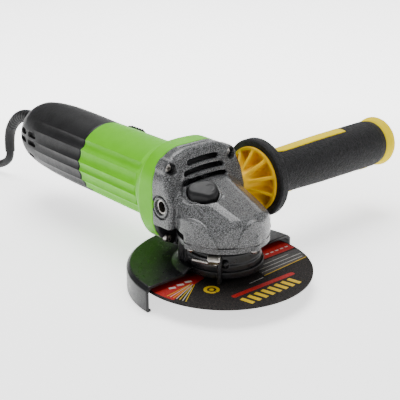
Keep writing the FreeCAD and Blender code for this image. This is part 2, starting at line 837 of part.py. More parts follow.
def make_guard():
    shell = turned("guard_blank", [
        ("collar_outer", "guard_top + 1.6"),
        (30.5, "guard_top + 1.6"),
        (35.5, "guard_top - guard_sheet"),
        (63.5, "guard_top - guard_sheet"),
        ("guard_radius - guard_sheet", "guard_top - guard_sheet - 2.2"),
        ("guard_radius - guard_sheet", "guard_bottom + guard_sheet"),
        (64.2, "guard_bottom + guard_sheet"),
        (64.2, "guard_bottom"),
        ("guard_radius", "guard_bottom"),
        ("guard_radius", "guard_top - 2.6"),
        ("guard_radius - 2.6", "guard_top"),
        (36, "guard_top"),
        (31, "guard_top + 1.6 + guard_sheet"),
        ("collar_outer", "guard_top + 1.6 + guard_sheet"),
    ])
    front = block("guard_front", (0, -70, -10), (70, 70, 30))
    keep_ring = rod("guard_keep_ring", 28.4, -20, 40)
    open_front = cut("guard_front_cut", front, keep_ring)
    node(cut("guard_shell", shell, open_front))

    band = ring("collar_band", "collar_inner", "collar_outer", "guard_top - guard_sheet", "collar_top")
    turn = Rotation(Vector(0, 0, 1), size("clamp_angle"))
    lugs = []
    for side in (1, -1):
        lug = doc.addObject("Part::Box", f"collar_lug_{side + 1}")
        lug.Length = 7.0
        lug.Width = 2.6
        lug.Height = size("collar_top") - 21.0
        corner = Vector(24.4, 1.6 if side > 0 else -4.2, 21.0)
        lug.Placement = Placement(turn.multVec(corner), turn)
        lugs.append(lug)
    gap = doc.addObject("Part::Box", "collar_gap")
    gap.Length = 12
    gap.Width = 3.2
    gap.Height = 40
    gap.Placement = Placement(turn.multVec(Vector(20, -1.6, 20.4)), turn)
    across = turn.multiply(Rotation(Vector(1, 0, 0), 90))
    centre = turn.multVec(Vector(28.4, 0, 26.0))
    hole = doc.addObject("Part::Cylinder", "collar_hole")
    hole.Radius = 2.1
    hole.Height = 20
    hole.Placement = Placement(centre - across.multVec(Vector(0, 0, 10)), across)
    node(cut("guard_collar", fuse("collar_solid", band, *lugs), gap, hole))

    screw = turned("clamp_screw_blank", [
        (0, -4.3),
        (2.0, -4.3),
        (2.0, 4.25),
        (3.0, 4.25),
        (3.0, 7.6),
        (2.6, 8.0),
        (0, 8.0),
    ], tuple(centre), across)
    node(rename(screw, "guard_clamp_screw"))
    node(ring("guard_clamp_nut", 2.0, 3.0, -7.0, -4.25, tuple(centre), across))


def rename(item, label):
    item.Label = label
    return item


# ---------------------------------------------------------------- motor


def make_rotor():
    at = (0, 0, "rotor_z")
    node(turned("armature_shaft", [
        (0, -149.0),
        (4, -149.0),
        (4, -139.0),
        (5, -139.0),
        (5, -24.4),
        (4, -24.4),
        (4, -14.8),
        (3.5, -14.8),
        (3.5, -10.6),
        (0, -10.6),
    ], at, "X"))
    slots = [
        block(
            f"core_slot_{number}",
            ("core_back - 1", 11, "rotor_z - 1.8"),
            ("core_front + 1", 16, "rotor_z + 1.8"),
            30.0 * number,
        )
        for number in range(12)
    ]
    mouths = [
        block(
            f"core_mouth_{number}",
            ("core_back - 1", 15, "rotor_z - 0.8"),
            ("core_front + 1", 20, "rotor_z + 0.8"),
            30.0 * number,
        )
        for number in range(12)
    ]
    node(
        cut(
            "armature_core",
            ring("core_blank", 5, "core_radius", "core_back", "core_front", at, "X"),
            *slots,
            *mouths,
        ),
    )
    bars = [
        block(
            f"winding_bar_{number}",
            ("core_back - 1", 11, "rotor_z - 1.7"),
            ("core_front + 1", 15.9, "rotor_z + 1.7"),
            30.0 * number,
        )
        for number in range(12)
    ]
    ends = [
        turned("winding_front", [
            (5.2, "core_front"),
            (15.8, "core_front"),
            (15.2, "core_front + 4"),
            (12, "core_front + 6"),
            (5.2, "core_front + 6"),
        ], at, "X"),
        turned("winding_back", [
            (5.2, "core_back - 7"),
            (12, "core_back - 7"),
            (15.2, "core_back - 5"),
            (15.8, "core_back"),
            (5.2, "core_back"),
        ], at, "X"),
    ]
    node(fuse("armature_windings", *ends, *bars))
    commutator = turned("commutator_blank", [
        (5, -134),
        ("commutator_radius", -134),
        ("commutator_radius", -121.5),
        ("commutator_radius + 1.6", -121.5),
        ("commutator_radius + 1.6", -119),
        (5, -119),
    ], at, "X")
    slits = [
        block(
            f"commutator_slit_{number}",
            (-134.5, 10.2, "rotor_z - 0.25"),
            (-118, 14, "rotor_z + 0.25"),
            15.0 * number,
        )
        for number in range(24)
    ]
    node(cut("commutator", commutator, *slits))
    hub = turned("fan_hub", [
        (5, -58),
        (9, -58),
        (9, -47),
        (24.4, -43.4),
        (24.4, -42),
        (5, -42),
    ], at, "X")
    blades = [
        block(
            f"fan_blade_{number}",
            (-56, 12, "rotor_z - 0.8"),
            (-43.2, 24.4, "rotor_z + 0.8"),
            360 / 13 * number,
        )
        for number in range(13)
    ]
    node(fuse("fan", hub, *blades))
    node(ring("front_bearing_outer", 10.4, 13, -34, -26.02, at, "X"))
    node(bearing_inner("front_bearing_inner", 5, 7.4, 10.4, -34, -26.02, 8, at, "X"))
    node(ring("rear_bearing_sleeve", 11, 11.8, -147, -139.9, at, "X"))
    node(ring("rear_bearing_outer", 8.8, 11, -147, -140, at, "X"))
    node(bearing_inner("rear_bearing_inner", 4, 6, 8.8, -147, -140, 8, at, "X"))


def make_stator():
    at = (0, 0, "rotor_z")
    blank = ring("stator_blank", 17.7, "stator_radius", "core_back", "core_front", at, "X")
    windows = []
    for number, angle in enumerate((38.0, 142.0, 218.0, 322.0)):
        windows.append(block(
            f"stator_window_{number}",
            ("core_back - 1", 16, "rotor_z - 4.6"),
            ("core_front + 1", 22, "rotor_z + 4.6"),
            angle,
        ))
    node(cut("stator_core", blank, *windows))
    coils = []
    for number, angle in enumerate((38.0, 142.0, 218.0, 322.0)):
        coils.append(block(
            f"stator_coil_{number}",
            ("core_back - 4", 18, "rotor_z - 4.4"),
            ("core_front + 3.5", 21.9, "rotor_z + 4.4"),
            angle,
        ))
    stator_ends = [("core_back - 4", "core_back - 0.02"), ("core_front + 0.02", "core_front + 3.5")]
    for number, (low, high) in enumerate(stator_ends):
        arc_ring = ring(f"stator_end_{number}", 18.0, 22.5, low, high, at, "X")
        sides = [
            block(
                f"stator_end_gap_{number}_{part}",
                (f"{low} - 1", start, "rotor_z - 9"),
                (f"{high} + 1", end, "rotor_z + 9"),
            )
            for part, (start, end) in enumerate([(10, 30), (-30, -10)])
        ]
        coils.append(cut(f"stator_end_cut_{number}", arc_ring, *sides))
    node(fuse("stator_windings", *coils))
    baffle = turned("air_baffle", [
        (21, -59.6),
        (25.3, -61.5),
        (26.3, -59.8),
        (26.3, -57.2),
        (24.8, -57.2),
        (21, -58.2),
    ], at, "X")
    node(baffle)


def make_brushes():
    holders = []
    for side, name in ((1, "left"), (-1, "right")):
        along = "Y" if side > 0 else "-Y"
        low, high = sorted((side * 12.6, side * 24.4))
        outer = block(f"holder_{name}", (-132.6, low, "rotor_z - 5"), (-122.4, high, "rotor_z + 5"))
        low, high = sorted((side * 12, side * 23.6))
        inner = block(
            f"holder_hole_{name}",
            (-131.6, low, "rotor_z - 3.6"),
            (-123.4, high, "rotor_z + 3.6"),
        )
        holders.append(cut(f"holder_box_{name}", outer, inner))
        face = rod(f"brush_{name}_face", "commutator_radius + 0.06", -136, -120, (0, 0, "rotor_z"), "X")
        low, high = sorted((side * 9.0, side * 19.4))
        brush_long = block(
            f"brush_{name}_long",
            (-131.5, low, "rotor_z - 3.5"),
            (-123.5, high, "rotor_z + 3.5"),
        )
        node(cut(f"brush_{name}", brush_long, face))
        node(spring(f"brush_spring_{name}", 2.6, 0.3, 19.42, 23.56, 3.0, (-127.5, 0, "rotor_z"), along))
    node(group("brush_holders", holders))


# ---------------------------------------------------------------- switch


def make_switch():
    angle = size("slider_angle")
    pad = block(
        "slider_pad",
        ("barrel_back + 3", 27.6, "rotor_z - 7.4"),
        ("barrel_back + 22", 29.4, "rotor_z + 7.4"),
        angle,
    )
    ridges = [
        block(
            f"slider_ridge_{number}",
            (f"barrel_back + {5.0 + 3.2 * number}", 29.3, "rotor_z - 6.6"),
            (f"barrel_back + {6.6 + 3.2 * number}", 30.6, "rotor_z + 6.6"),
            angle,
        )
        for number in range(5)
    ]
    leg = block(
        "slider_leg",
        ("barrel_back + 5.5", 21.4, "rotor_z - 2.3"),
        ("barrel_back + 10", 27.7, "rotor_z + 2.3"),
        angle,
    )
    node(fuse("switch_slider", pad, leg, *ridges))
    bar = block(
        "rod_bar",
        (-170, 19.4, "rotor_z - 2.3"),
        ("barrel_back + 9.6", 21.38, "rotor_z + 2.3"),
        angle,
    )
    hook = block("rod_hook", (-170, 15.5, "rotor_z - 2.3"), (-167.6, 19.5, "rotor_z + 2.3"), angle)
    node(fuse("switch_rod", bar, hook))
    body = block("switch_body", (-206, -10, "rotor_z - 9"), (-176, 8, "rotor_z + 10"))
    shelf = block("switch_shelf", (-196, -4, "rotor_z - 22.6"), (-184, 4, "rotor_z - 8.9"))
    node(fuse("switch_unit", body, shelf))


# ---------------------------------------------------------------- side handle


def make_handle():
    at = ("handle_x", 0, "rotor_z")
    node(turned("handle_stud", [
        (0, 16),
        (3.3, 16),
        (3.98, 16.8),
        (3.98, 60),
        (0, 60),
    ], at, "Y"))
    core = turned("handle_core_blank", [
        (3.98, "hub_start"),
        (7.6, "hub_start"),
        (7.8, "hub_start + 2.6"),
        (12.5, "hub_start + 6"),
        (14.5, "rib_face - 8"),
        (17.5, "rib_face - 3"),
        ("rib_radius", "rib_face - 0.6"),
        ("rib_radius", "rib_face + 4"),
        (12.5, "grip_start - 3"),
        (12.5, "grip_end - 3"),
        (17.6, "grip_end"),
        (20.2, "grip_end + 4"),
        (19.6, "handle_end - 2"),
        (17.4, "handle_end"),
        (9, "handle_end"),
        (9, "handle_end - 1.5"),
        (0, "handle_end - 1.5"),
        (0, 60),
        (3.98, 60),
    ], at, "Y")
    ribs = []
    for number in range(10):
        angle = 90.0 + 36.0 * number
        rib = Part.makePolygon([
            Vector(12.0, 0, size("rib_face - 10")),
            Vector(23.8, 0, size("rib_face - 3.2")),
            Vector(23.8, 0, size("rib_face + 1")),
            Vector(12.0, 0, size("rib_face + 1")),
            Vector(12.0, 0, size("rib_face - 10")),
        ])
        solid = Part.Face(rib).extrude(Vector(0, 1.6, 0))
        solid.translate(Vector(0, -0.8, 0))
        solid.rotate(Vector(), Vector(0, 0, 1), angle)
        ribs.append(solid)
    rib_group = shaped("handle_ribs", ribs[0].fuse(ribs[1:]), at, "Y")
    node(fuse("handle_core", core, rib_group))
    node(turned("handle_grip", [
        ("rib_radius + 0.02", "rib_face"),
        ("rim_radius - 1.2", "rib_face - 0.2"),
        ("rim_radius", "rib_face + 1.4"),
        ("rim_radius", "rib_face + 7"),
        ("rim_radius - 2", "rib_face + 8.6"),
        (19, "rib_face + 10.5"),
        (15.8, "rib_face + 13.5"),
        (15.6, "grip_start"),
        (16.8, "grip_start + 4"),
        (18.2, "grip_start + 50"),
        (18.8, "grip_end - 6"),
        (17.7, "grip_end - 0.2"),
        (17.6, "grip_end - 0.05"),
        (12.55, "grip_end - 3.05"),
        (12.55, "grip_start - 2.9"),
        ("rib_radius + 0.02", "rib_face + 4.2"),
    ], at, "Y"))


# ---------------------------------------------------------------- cord


def path_through(points):
    """Straight runs joined by tangent arcs, as large as the runs beside each point allow."""
    edges = []
    start = points[0]
    for before, corner, after in zip(points, points[1:], points[2:]):
        run_in = corner - before
        run_out = after - corner
        turn = run_in.getAngle(run_out)
        reach = 0.45 * min(run_in.Length, run_out.Length)
        radius = reach / math.tan(turn / 2)
        print(f"cord bend: turn {math.degrees(turn):.0f} deg, radius {radius:.1f} mm")
        back = Vector(run_in).normalize()
        ahead = Vector(run_out).normalize()
        first = corner - back * reach
        last = corner + ahead * reach
        inward = (ahead - back).normalize()
        centre = corner + inward * (radius / math.cos(turn / 2))
        middle = centre - inward * radius
        if (first - start).Length > 0.01:
            edges.append(Part.LineSegment(start, first).toShape())
        edges.append(Part.Arc(first, middle, last).toShape())
        start = last
    edges.append(Part.LineSegment(start, points[-1]).toShape())
    return Part.Wire(edges)


def tube(points, radius):
    """A round solid along a route."""
    path = path_through(points)
    direction = points[1] - points[0]
    circle = Part.Wire(Part.makeCircle(radius, points[0], direction))
    solid = path.makePipeShell([circle], True, False)
    expected = math.pi * radius ** 2 * path.Length
    print(
        f"cord length {path.Length:.0f} mm, volume over section times length {solid.Volume / expected:.4f}",
    )
    return solid


RELIEF_ROUTE = [
    Vector(-226.0, 0, RELIEF_EXIT_Z),
    Vector(-240.0, 0, RELIEF_EXIT_Z + 0.3),
    Vector(-266.0, 0, 63.4),
    Vector(-285.0, 0, 50.0),
    Vector(-292.5, 0, 36.0),
    Vector(-292.6, 0, 22.8),
]
COIL_CENTRE = Vector(-352.0, -92.0, 0)
COIL_RADIUS = 41.0
CORD_ROUTE = [
    Vector(-292.6, 0, 22.8),
    Vector(-292.8, -0.3, 17.4),
    Vector(-298.0, -1.2, 11.4),
    Vector(-308.0, -3.4, 6.4),
    Vector(-325.0, -6.0, 2.6),
    Vector(-352.0, -10.0, 1.7),
    Vector(-379.0, -24.0, 1.7),
    Vector(-396.0, -52.0, 1.7),
    Vector(-400.3, -92.0, 1.7),
]
TAIL_ROUTE = [
    Vector(-352.0, -140.3, 9.0),
    Vector(-338.0, -141.2, 8.4),
    Vector(-322.0, -139.6, 6.6),
    Vector(-304.0, -136.6, 8.0),
    Vector(-284.0, -134.6, 13.4),
    Vector(-264.0, -133.0, 16.3),
    Vector(-246.0, -131.0, 16.4),
]


def make_cord():
    cord_radius = size("cord_radius")
    path = path_through(RELIEF_ROUTE)
    first = RELIEF_ROUTE[1] - RELIEF_ROUTE[0]
    last = RELIEF_ROUTE[-1] - RELIEF_ROUTE[-2]
    outline = Part.Wire(Part.makeCircle(5.45, RELIEF_ROUTE[0], first))
    sleeve = path.makePipeShell([outline], True, False)
    collar_base = RELIEF_ROUTE[-1] - Vector(last).normalize() * 3.6
    collar = Part.makeCylinder(7.2, 3.6, collar_base, last)
    root = Part.makeCylinder(
        8.0,
        2.4,
        Vector(size("cover_end") + 5.9, 0, RELIEF_EXIT_Z + 0.1),
        Vector(1, 0, 0),
    )
    relief = sleeve.fuse([collar, root])
    node(shaped("strain_relief", relief))
    node(shaped("power_cord", tube(CORD_ROUTE, cord_radius)))
    coil = doc.addObject("PartDesign::Body", "cord_coil")
    outline = [
        (COIL_RADIUS - 11, "floor_z + 2"),
        (COIL_RADIUS - 9, "floor_z + 0.1"),
        (COIL_RADIUS + 9, "floor_z + 0.1"),
        (COIL_RADIUS + 11, "floor_z + 2"),
        (COIL_RADIUS + 11, "floor_z + 13"),
        (COIL_RADIUS + 8, "floor_z + 15.4"),
        (COIL_RADIUS - 8, "floor_z + 15.4"),
        (COIL_RADIUS - 11, "floor_z + 13"),
    ]
    revolution = coil.newObject("PartDesign::Revolution", "turning")
    revolution.Profile = profile(coil, "XZ_Plane", outline)
    revolution.ReferenceAxis = (revolution.Profile[0], ["V_Axis"])
    revolution.Angle = 360
    place(coil, tuple(COIL_CENTRE))
    node(coil)
    node(shaped("cord_tail", tube(TAIL_ROUTE, cord_radius)))
    away = (TAIL_ROUTE[-1] - TAIL_ROUTE[-2]).normalize()
    flat = Vector(away.x, away.y, 0).normalize()
    turn = Rotation(Vector(0, 0, 1), flat)
    plug = turned("plug_blank", [
        (0, 0),
        (5.5, 0),
        (7.0, 12),
        (12.5, 20),
        (18.2, 26),
        (18.2, 39),
        (0, 39),
    ], tuple(TAIL_ROUTE[-1]), turn)
    node(rename(plug, "plug_body"))
    pins = []
    side = Vector(-flat.y, flat.x, 0)
    for sign in (1, -1):
        base = TAIL_ROUTE[-1] + flat * 39 + side * (9.5 * sign)
        pin = turned(f"plug_pin_{sign + 1}", [
            (0, 0),
            (2.4, 0),
            (2.4, 17.8),
            (1.6, 19),
            (0, 19),
        ], tuple(base), turn)
        pins.append(pin)
    node(group("plug_pins", pins))


def make_cord_clamp():
    bar = block("clamp_bar", (-222.6, -9, RELIEF_EXIT_Z - 9.6), (-216.4, 9, RELIEF_EXIT_Z - 5.0))
    node(rename(bar, "cord_clamp"))


make_motor_housing()
make_rear_cover()
make_gear_housing()
make_screws()
make_gears()
make_spindle()
make_bearing_box()
make_lock()
make_disc()
make_guard()
make_rotor()
make_stator()
make_brushes()
make_switch()
make_handle()
make_cord()
make_cord_clamp()

doc.recompute()
for item in doc.Objects:
    if "Invalid" in item.State or "Error" in item.State:
        raise RuntimeError(f"{item.Label} failed: {item.State}")
os.makedirs("parts", exist_ok=True)
for item in nodes:
    shape = item.Shape
    if shape.isNull() or not shape.isValid() or not shape.Solids:
        raise RuntimeError(f"{item.Label} has no valid solid")
    print(f"{item.Label}: {len(shape.Solids)} solid(s), {shape.Volume:.0f} mm3")
    shape.exportStep(f"parts/{item.Label}.step")
print(len(nodes), "nodes")
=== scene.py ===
import json
import math

import bmesh
import bpy
import numpy as np
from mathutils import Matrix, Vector, noise


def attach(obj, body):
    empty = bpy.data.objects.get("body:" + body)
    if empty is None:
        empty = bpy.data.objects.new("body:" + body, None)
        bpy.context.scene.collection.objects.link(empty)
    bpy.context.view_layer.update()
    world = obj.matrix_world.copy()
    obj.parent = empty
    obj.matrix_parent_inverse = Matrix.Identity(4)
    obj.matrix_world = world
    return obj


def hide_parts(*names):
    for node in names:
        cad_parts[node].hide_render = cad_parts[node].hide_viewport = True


# A slim corded angle grinder lying on its cutting disc and guard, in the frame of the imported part:
# metres, +Z up the spindle, +X out of the gear head away from the cord, +Y along the side handle.
# Shapes below are worked out in millimetres and scaled once when their meshes are made.

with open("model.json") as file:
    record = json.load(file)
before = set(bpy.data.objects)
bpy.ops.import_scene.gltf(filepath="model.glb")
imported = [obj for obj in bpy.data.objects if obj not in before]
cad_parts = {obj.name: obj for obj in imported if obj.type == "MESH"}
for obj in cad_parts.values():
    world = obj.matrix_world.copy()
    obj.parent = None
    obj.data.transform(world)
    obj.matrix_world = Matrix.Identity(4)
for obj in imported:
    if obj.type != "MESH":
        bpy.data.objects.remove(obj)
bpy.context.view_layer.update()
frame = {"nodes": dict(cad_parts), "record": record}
MM = 0.001
ROTOR_Z = 56.0
FLOOR_Z = -2.0

# ---------------------------------------------------------------- camera

CAMERA_AZIMUTH = math.radians(49.05)
CAMERA_ELEVATION = math.radians(21.35)
camera_data = bpy.data.cameras.new("camera")
camera_data.lens = 79.81
camera_data.sensor_width = 36.0
camera = bpy.data.objects.new("camera", camera_data)
camera.location = (0.4119, -0.3789, 0.2790)
camera.rotation_euler = (math.pi / 2 - CAMERA_ELEVATION, 0, CAMERA_AZIMUTH)
bpy.context.scene.collection.objects.link(camera)
bpy.context.scene.camera = camera

# ---------------------------------------------------------------- cord route, as in the part

RELIEF_ROUTE = [
    (-0.2260, 0, 0.0646),
    (-0.2400, 0, 0.0649),
    (-0.2660, 0, 0.0634),
    (-0.2850, 0, 0.0500),
    (-0.2925, 0, 0.0360),
    (-0.2926, 0, 0.0228),
]
CORD_ROUTE = [
    (-0.2926, 0, 0.0228),
    (-0.2928, -0.0003, 0.0174),
    (-0.2980, -0.0012, 0.0114),
    (-0.3080, -0.0034, 0.0064),
    (-0.3250, -0.0060, 0.0026),
    (-0.3520, -0.0100, 0.0017),
    (-0.3790, -0.0240, 0.0017),
    (-0.3960, -0.0520, 0.0017),
]
TAIL_ROUTE = [
    (-0.3380, -0.1412, 0.0084),
    (-0.3220, -0.1396, 0.0066),
    (-0.3040, -0.1366, 0.0080),
    (-0.2840, -0.1346, 0.0134),
    (-0.2640, -0.1330, 0.0163),
    (-0.2460, -0.1310, 0.0164),
]
COIL_CENTRE = (-0.352, -0.092)
CORD_DIAMETER = 0.0072
POINTS_PER_TURN = 16
COIL_LOW, COIL_HIGH = 0.0017, 0.0090
# Turns from the start, radius and height, on the way in along the floor and out again on top.
COIL_STATIONS = [
    (0.0, 0.0483, COIL_LOW),
    (1.0, 0.0410, COIL_LOW),
    (2.0, 0.0337, COIL_LOW),
    (2.8, 0.0337, COIL_LOW),
    (3.2, 0.0337, COIL_HIGH),
    (4.0, 0.0410, COIL_HIGH),
    (5.0, 0.0483, COIL_HIGH),
    (5.25, 0.0483, COIL_HIGH),
]


def coil_points():
    """Control points of the coil, a spiral inward on the floor and outward on the turns below."""
    turns, radii, heights = zip(*COIL_STATIONS)
    count = int(turns[-1] * POINTS_PER_TURN)
    points = []
    for step in range(count + 1):
        turn = step / POINTS_PER_TURN
        angle = math.pi + 2 * math.pi * turn
        radius = float(np.interp(turn, turns, radii))
        height = float(np.interp(turn, turns, heights))
        points.append((
            COIL_CENTRE[0] + radius * math.cos(angle),
            COIL_CENTRE[1] + radius * math.sin(angle),
            height,
        ))
    return points


def nurbs(name, points, thickness):
    """One open smooth spline along its control points, round in section.

    The half thickness is each point's own radius, on a bevel of one, so that the curve's bounds stay tight.
    """
    curve = bpy.data.curves.new(name, "CURVE")
    curve.dimensions = "3D"
    curve.bevel_depth = 1.0
    curve.bevel_resolution = 5
    curve.resolution_u = 8
    curve.use_fill_caps = True
    spline = curve.splines.new("NURBS")
    spline.points.add(len(points) - 1)
    for point, place in zip(spline.points, points):
        point.co = (*place, 1.0)
        point.radius = thickness
    spline.order_u = 3
    spline.use_endpoint_u = True
    piece = bpy.data.objects.new(name, curve)
    bpy.context.scene.collection.objects.link(piece)
    return piece


def spline_length(points):
    """The real length of the smooth line over these points."""
    probe = nurbs("probe", points, 0.0)
    probe.data.bevel_depth = 0.0
    mesh = bpy.data.meshes.new_from_object(probe)
    length = sum((mesh.vertices[i + 1].co - mesh.vertices[i].co).length for i in range(len(mesh.vertices) - 1))
    bpy.data.meshes.remove(mesh)
    curve = probe.data
    bpy.data.objects.remove(probe)
    bpy.data.curves.remove(curve)
    return length


cord_points = CORD_ROUTE + coil_points() + TAIL_ROUTE
cord = nurbs("flex_cord", cord_points, CORD_DIAMETER / 2)
CORD_LENGTH = round(spline_length(cord_points), 3)
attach(cord, "housing")
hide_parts("power_cord", "cord_coil", "cord_tail")

# ---------------------------------------------------------------- materials


class Look:
    """One procedural material, built up by calls. Places are read in the object's own metres."""

    def __init__(self, name, roughness, metallic=0.0, specular=0.5, coat=0.0, coat_roughness=0.1):
        self.material = bpy.data.materials.new(name)
        self.material.use_nodes = True
        self.tree = self.material.node_tree
        self.shader = self.tree.nodes["Principled BSDF"]
        self.shader.inputs["Roughness"].default_value = roughness
        self.shader.inputs["Metallic"].default_value = metallic
        self.shader.inputs["Specular IOR Level"].default_value = specular
        self.shader.inputs["Coat Weight"].default_value = coat
        self.shader.inputs["Coat Roughness"].default_value = coat_roughness
        self.place = self.tree.nodes.new("ShaderNodeTexCoord").outputs["Object"]
        self.height = None

    def node(self, kind, **values):
        made = self.tree.nodes.new(kind)
        for key, value in values.items():
            setattr(made, key, value)
        return made

    def link(self, output, target):
        self.tree.links.new(output, target)

    def stretched(self, scale):
        mapping = self.node("ShaderNodeMapping")
        mapping.inputs["Scale"].default_value = scale
        self.link(self.place, mapping.inputs["Vector"])
        return mapping.outputs["Vector"]

    def noise(self, scale, detail=3.0, rough=0.5, stretch=None):
        made = self.node("ShaderNodeTexNoise")
        made.inputs["Scale"].default_value = scale
        made.inputs["Detail"].default_value = detail
        made.inputs["Roughness"].default_value = rough
        self.link(self.stretched(stretch) if stretch else self.place, made.inputs["Vector"])
        return made.outputs["Fac"]

    def cells(self, scale, feature="F1", stretch=None):
        made = self.node("ShaderNodeTexVoronoi", feature=feature)
        made.inputs["Scale"].default_value = scale
        self.link(self.stretched(stretch) if stretch else self.place, made.inputs["Vector"])
        return made.outputs["Distance"]

    def remap(self, value, low, high, first, last):
        made = self.node("ShaderNodeMapRange")
        for key, number in (("From Min", low), ("From Max", high), ("To Min", first), ("To Max", last)):
            made.inputs[key].default_value = number
        self.link(value, made.inputs["Value"])
        return made.outputs["Result"]

    def maths(self, operation, first, second):
        made = self.node("ShaderNodeMath", operation=operation)
        for slot, value in enumerate((first, second)):
            if isinstance(value, (int, float)):
                made.inputs[slot].default_value = value
            else:
                self.link(value, made.inputs[slot])
        return made.outputs["Value"]

    def ramp(self, value, *stops):
        made = self.node("ShaderNodeValToRGB")
        elements = made.color_ramp.elements
        while len(elements) < len(stops):
            elements.new(0.5)
        for element, (position, colour) in zip(elements, stops):
            element.position = position
            element.color = (*colour, 1.0)
        self.link(value, made.inputs["Fac"])
        return made.outputs["Color"]

    def mixed(self, factor, first, second):
        made = self.node("ShaderNodeMix", data_type="RGBA")
        for slot, value in ((6, first), (7, second)):
            if isinstance(value, tuple):
                made.inputs[slot].default_value = (*value, 1.0)
            else:
                self.link(value, made.inputs[slot])
        self.link(factor, made.inputs["Factor"])
        return made.outputs[2]

    def edges(self, low=0.53, high=0.62):
        """More on worn outward edges."""
        return self.remap(self.node("ShaderNodeNewGeometry").outputs["Pointiness"], low, high, 0.0, 1.0)

    def colour(self, output):
        self.link(output, self.shader.inputs["Base Color"])

    def rough(self, output):
        self.link(output, self.shader.inputs["Roughness"])

    def uneven(self, scale, detail, low, high, rough=0.5, stretch=None):
        """A roughness that wanders between two values."""
        self.rough(self.remap(self.noise(scale, detail, rough, stretch), 0.3, 0.7, low, high))

    def bump(self, height, distance, strength=1.0):
        made = self.node("ShaderNodeBump")
        made.inputs["Distance"].default_value = distance
        made.inputs["Strength"].default_value = strength
        self.link(height, made.inputs["Height"])
        if self.height is not None:
            self.link(self.height, made.inputs["Normal"])
        self.height = made.outputs["Normal"]
        self.link(self.height, self.shader.inputs["Normal"])


def tone(base, factor, lift=0.0):
    """A colour made darker or lighter."""
    return tuple(min(1.0, c * factor + lift) for c in base)


def plastic(name, base, roughness, grain=2600.0, depth=0.00006, spread=0.12, specular=0.4, coat=0.0):
    """A moulded plastic: fine etched grain, slight colour drift and paler rubbed edges."""
    look = Look(name, roughness, specular=specular, coat=coat)
    darker = tone(base, 1 - spread)
    lighter = tone(base, 1 + spread, 0.002)
    look.colour(look.mixed(
        look.maths("MULTIPLY", look.edges(), 0.35),
        look.ramp(look.noise(90.0, 4.0), (0.35, darker), (0.65, lighter)),
        tone(base, 1.25, 0.02),
    ))
    look.uneven(300.0, 5.0, roughness - 0.05, roughness + 0.07)
    look.bump(look.noise(grain, 4.0, 0.6), depth)
    return look


def metal(name, base, roughness, stretch=None, scale=900.0, depth=0.00003, grime=0.5, metallic=1.0):
    """A metal with tool marks or grain, uneven gloss and darker grime in places."""
    look = Look(name, roughness, metallic=metallic)
    look.colour(look.mixed(
        look.remap(look.noise(260.0, 6.0, 0.65), 0.45, 0.75, 0.0, grime),
        base,
        tone(base, 0.45),
    ))
    look.uneven(scale * 0.7, 4.0, roughness - 0.08, roughness + 0.12, 0.6, stretch)
    look.bump(look.noise(scale, 3.0, 0.6, stretch), depth)
    return look


def hammertone(name, dark, light, contrast):
    """Hammered enamel on a casting: bright pools between dark veins."""
    look = Look(name, 0.3, metallic=0.4, specular=0.5, coat=0.5, coat_roughness=0.12)
    pools = look.cells(900.0, "DISTANCE_TO_EDGE")
    ripple = look.noise(1300.0, 4.0, 0.7)
    pool_height = look.remap(pools, 0.0, 0.34, 0.0, contrast)
    speck = look.maths("ADD", pool_height, look.remap(ripple, 0.38, 0.62, -0.40, 0.30))
    middle = tuple((a + b) / 2 for a, b in zip(dark, light))
    look.colour(look.ramp(speck, (0.06, dark), (0.4, middle), (0.95, light)))
    look.rough(look.remap(ripple, 0.3, 0.7, 0.22, 0.42))
    look.bump(speck, 0.00028, 0.8)
    look.bump(look.noise(2600.0, 3.0), 0.00004, 0.6)
    return look


def rubber(name, base, roughness, leather):
    """Soft rubber, plain or with a leather grain of small pads."""
    look = Look(name, roughness, specular=0.2)
    if leather:
        pads = look.cells(780.0, "DISTANCE_TO_EDGE")
        pad = look.remap(pads, 0.0, 0.3, 0.0, 1.0)
        # Painted shade: the grooves between the pads are darker, following the bump.
        look.colour(look.mixed(pad, tone(base, 0.5), tone(base, 1.25)))
        look.bump(pad, 0.00035, 0.9)
    else:
        look.colour(look.ramp(look.noise(120.0, 4.0), (0.35, tone(base, 0.8)), (0.65, tone(base, 1.2))))
    look.bump(look.noise(3200.0, 3.0, 0.6), 0.00005)
    look.uneven(400.0, 4.0, roughness - 0.06, roughness + 0.08)
    return look


def grit():
    """Resin-bonded abrasive: dark sharp grains."""
    look = Look("abrasive_grit", 0.75, specular=0.15)
    grains = look.cells(1500.0)
    pit, face, glint = (0.004, 0.004, 0.004), (0.009, 0.008, 0.008), (0.035, 0.028, 0.024)
    # Painted shade in the pits at the grain centres and a painted highlight, the glint, on the raised grain
    # edges, following the bump.
    look.colour(look.ramp(grains, (0.1, pit), (0.5, face), (0.9, glint)))
    look.bump(look.cells(1500.0), 0.00025, 0.9)
    look.bump(look.noise(5200.0, 4.0, 0.7), 0.0001)
    look.uneven(1500.0, 3.0, 0.55, 0.9)
    return look


def printed(name, base):
    """Ink printed on the grit: the grains show through it."""
    look = Look(name, 0.5, specular=0.2)
    grains = look.cells(1500.0)
    worn = look.remap(look.noise(1900.0, 4.0, 0.7), 0.52, 0.7, 0.0, 0.65)
    look.colour(look.mixed(worn, base, (0.03, 0.028, 0.026)))
    look.bump(grains, 0.0002, 0.8)
    look.uneven(700.0, 3.0, 0.4, 0.65)
    return look


def painted_steel():
    """Black powder coat with a faint orange peel and rubbed edges."""
    look = Look("guard_coat", 0.3, specular=0.3)
    look.colour(look.mixed(
        look.maths("MULTIPLY", look.edges(), 0.5),
        look.ramp(look.noise(150.0, 5.0), (0.35, (0.004, 0.004, 0.0045)), (0.65, (0.008, 0.008, 0.009))),
        (0.05, 0.05, 0.05),
    ))
    look.bump(look.noise(1100.0, 2.0), 0.00009)
    look.uneven(420.0, 4.0, 0.26, 0.40)
    return look


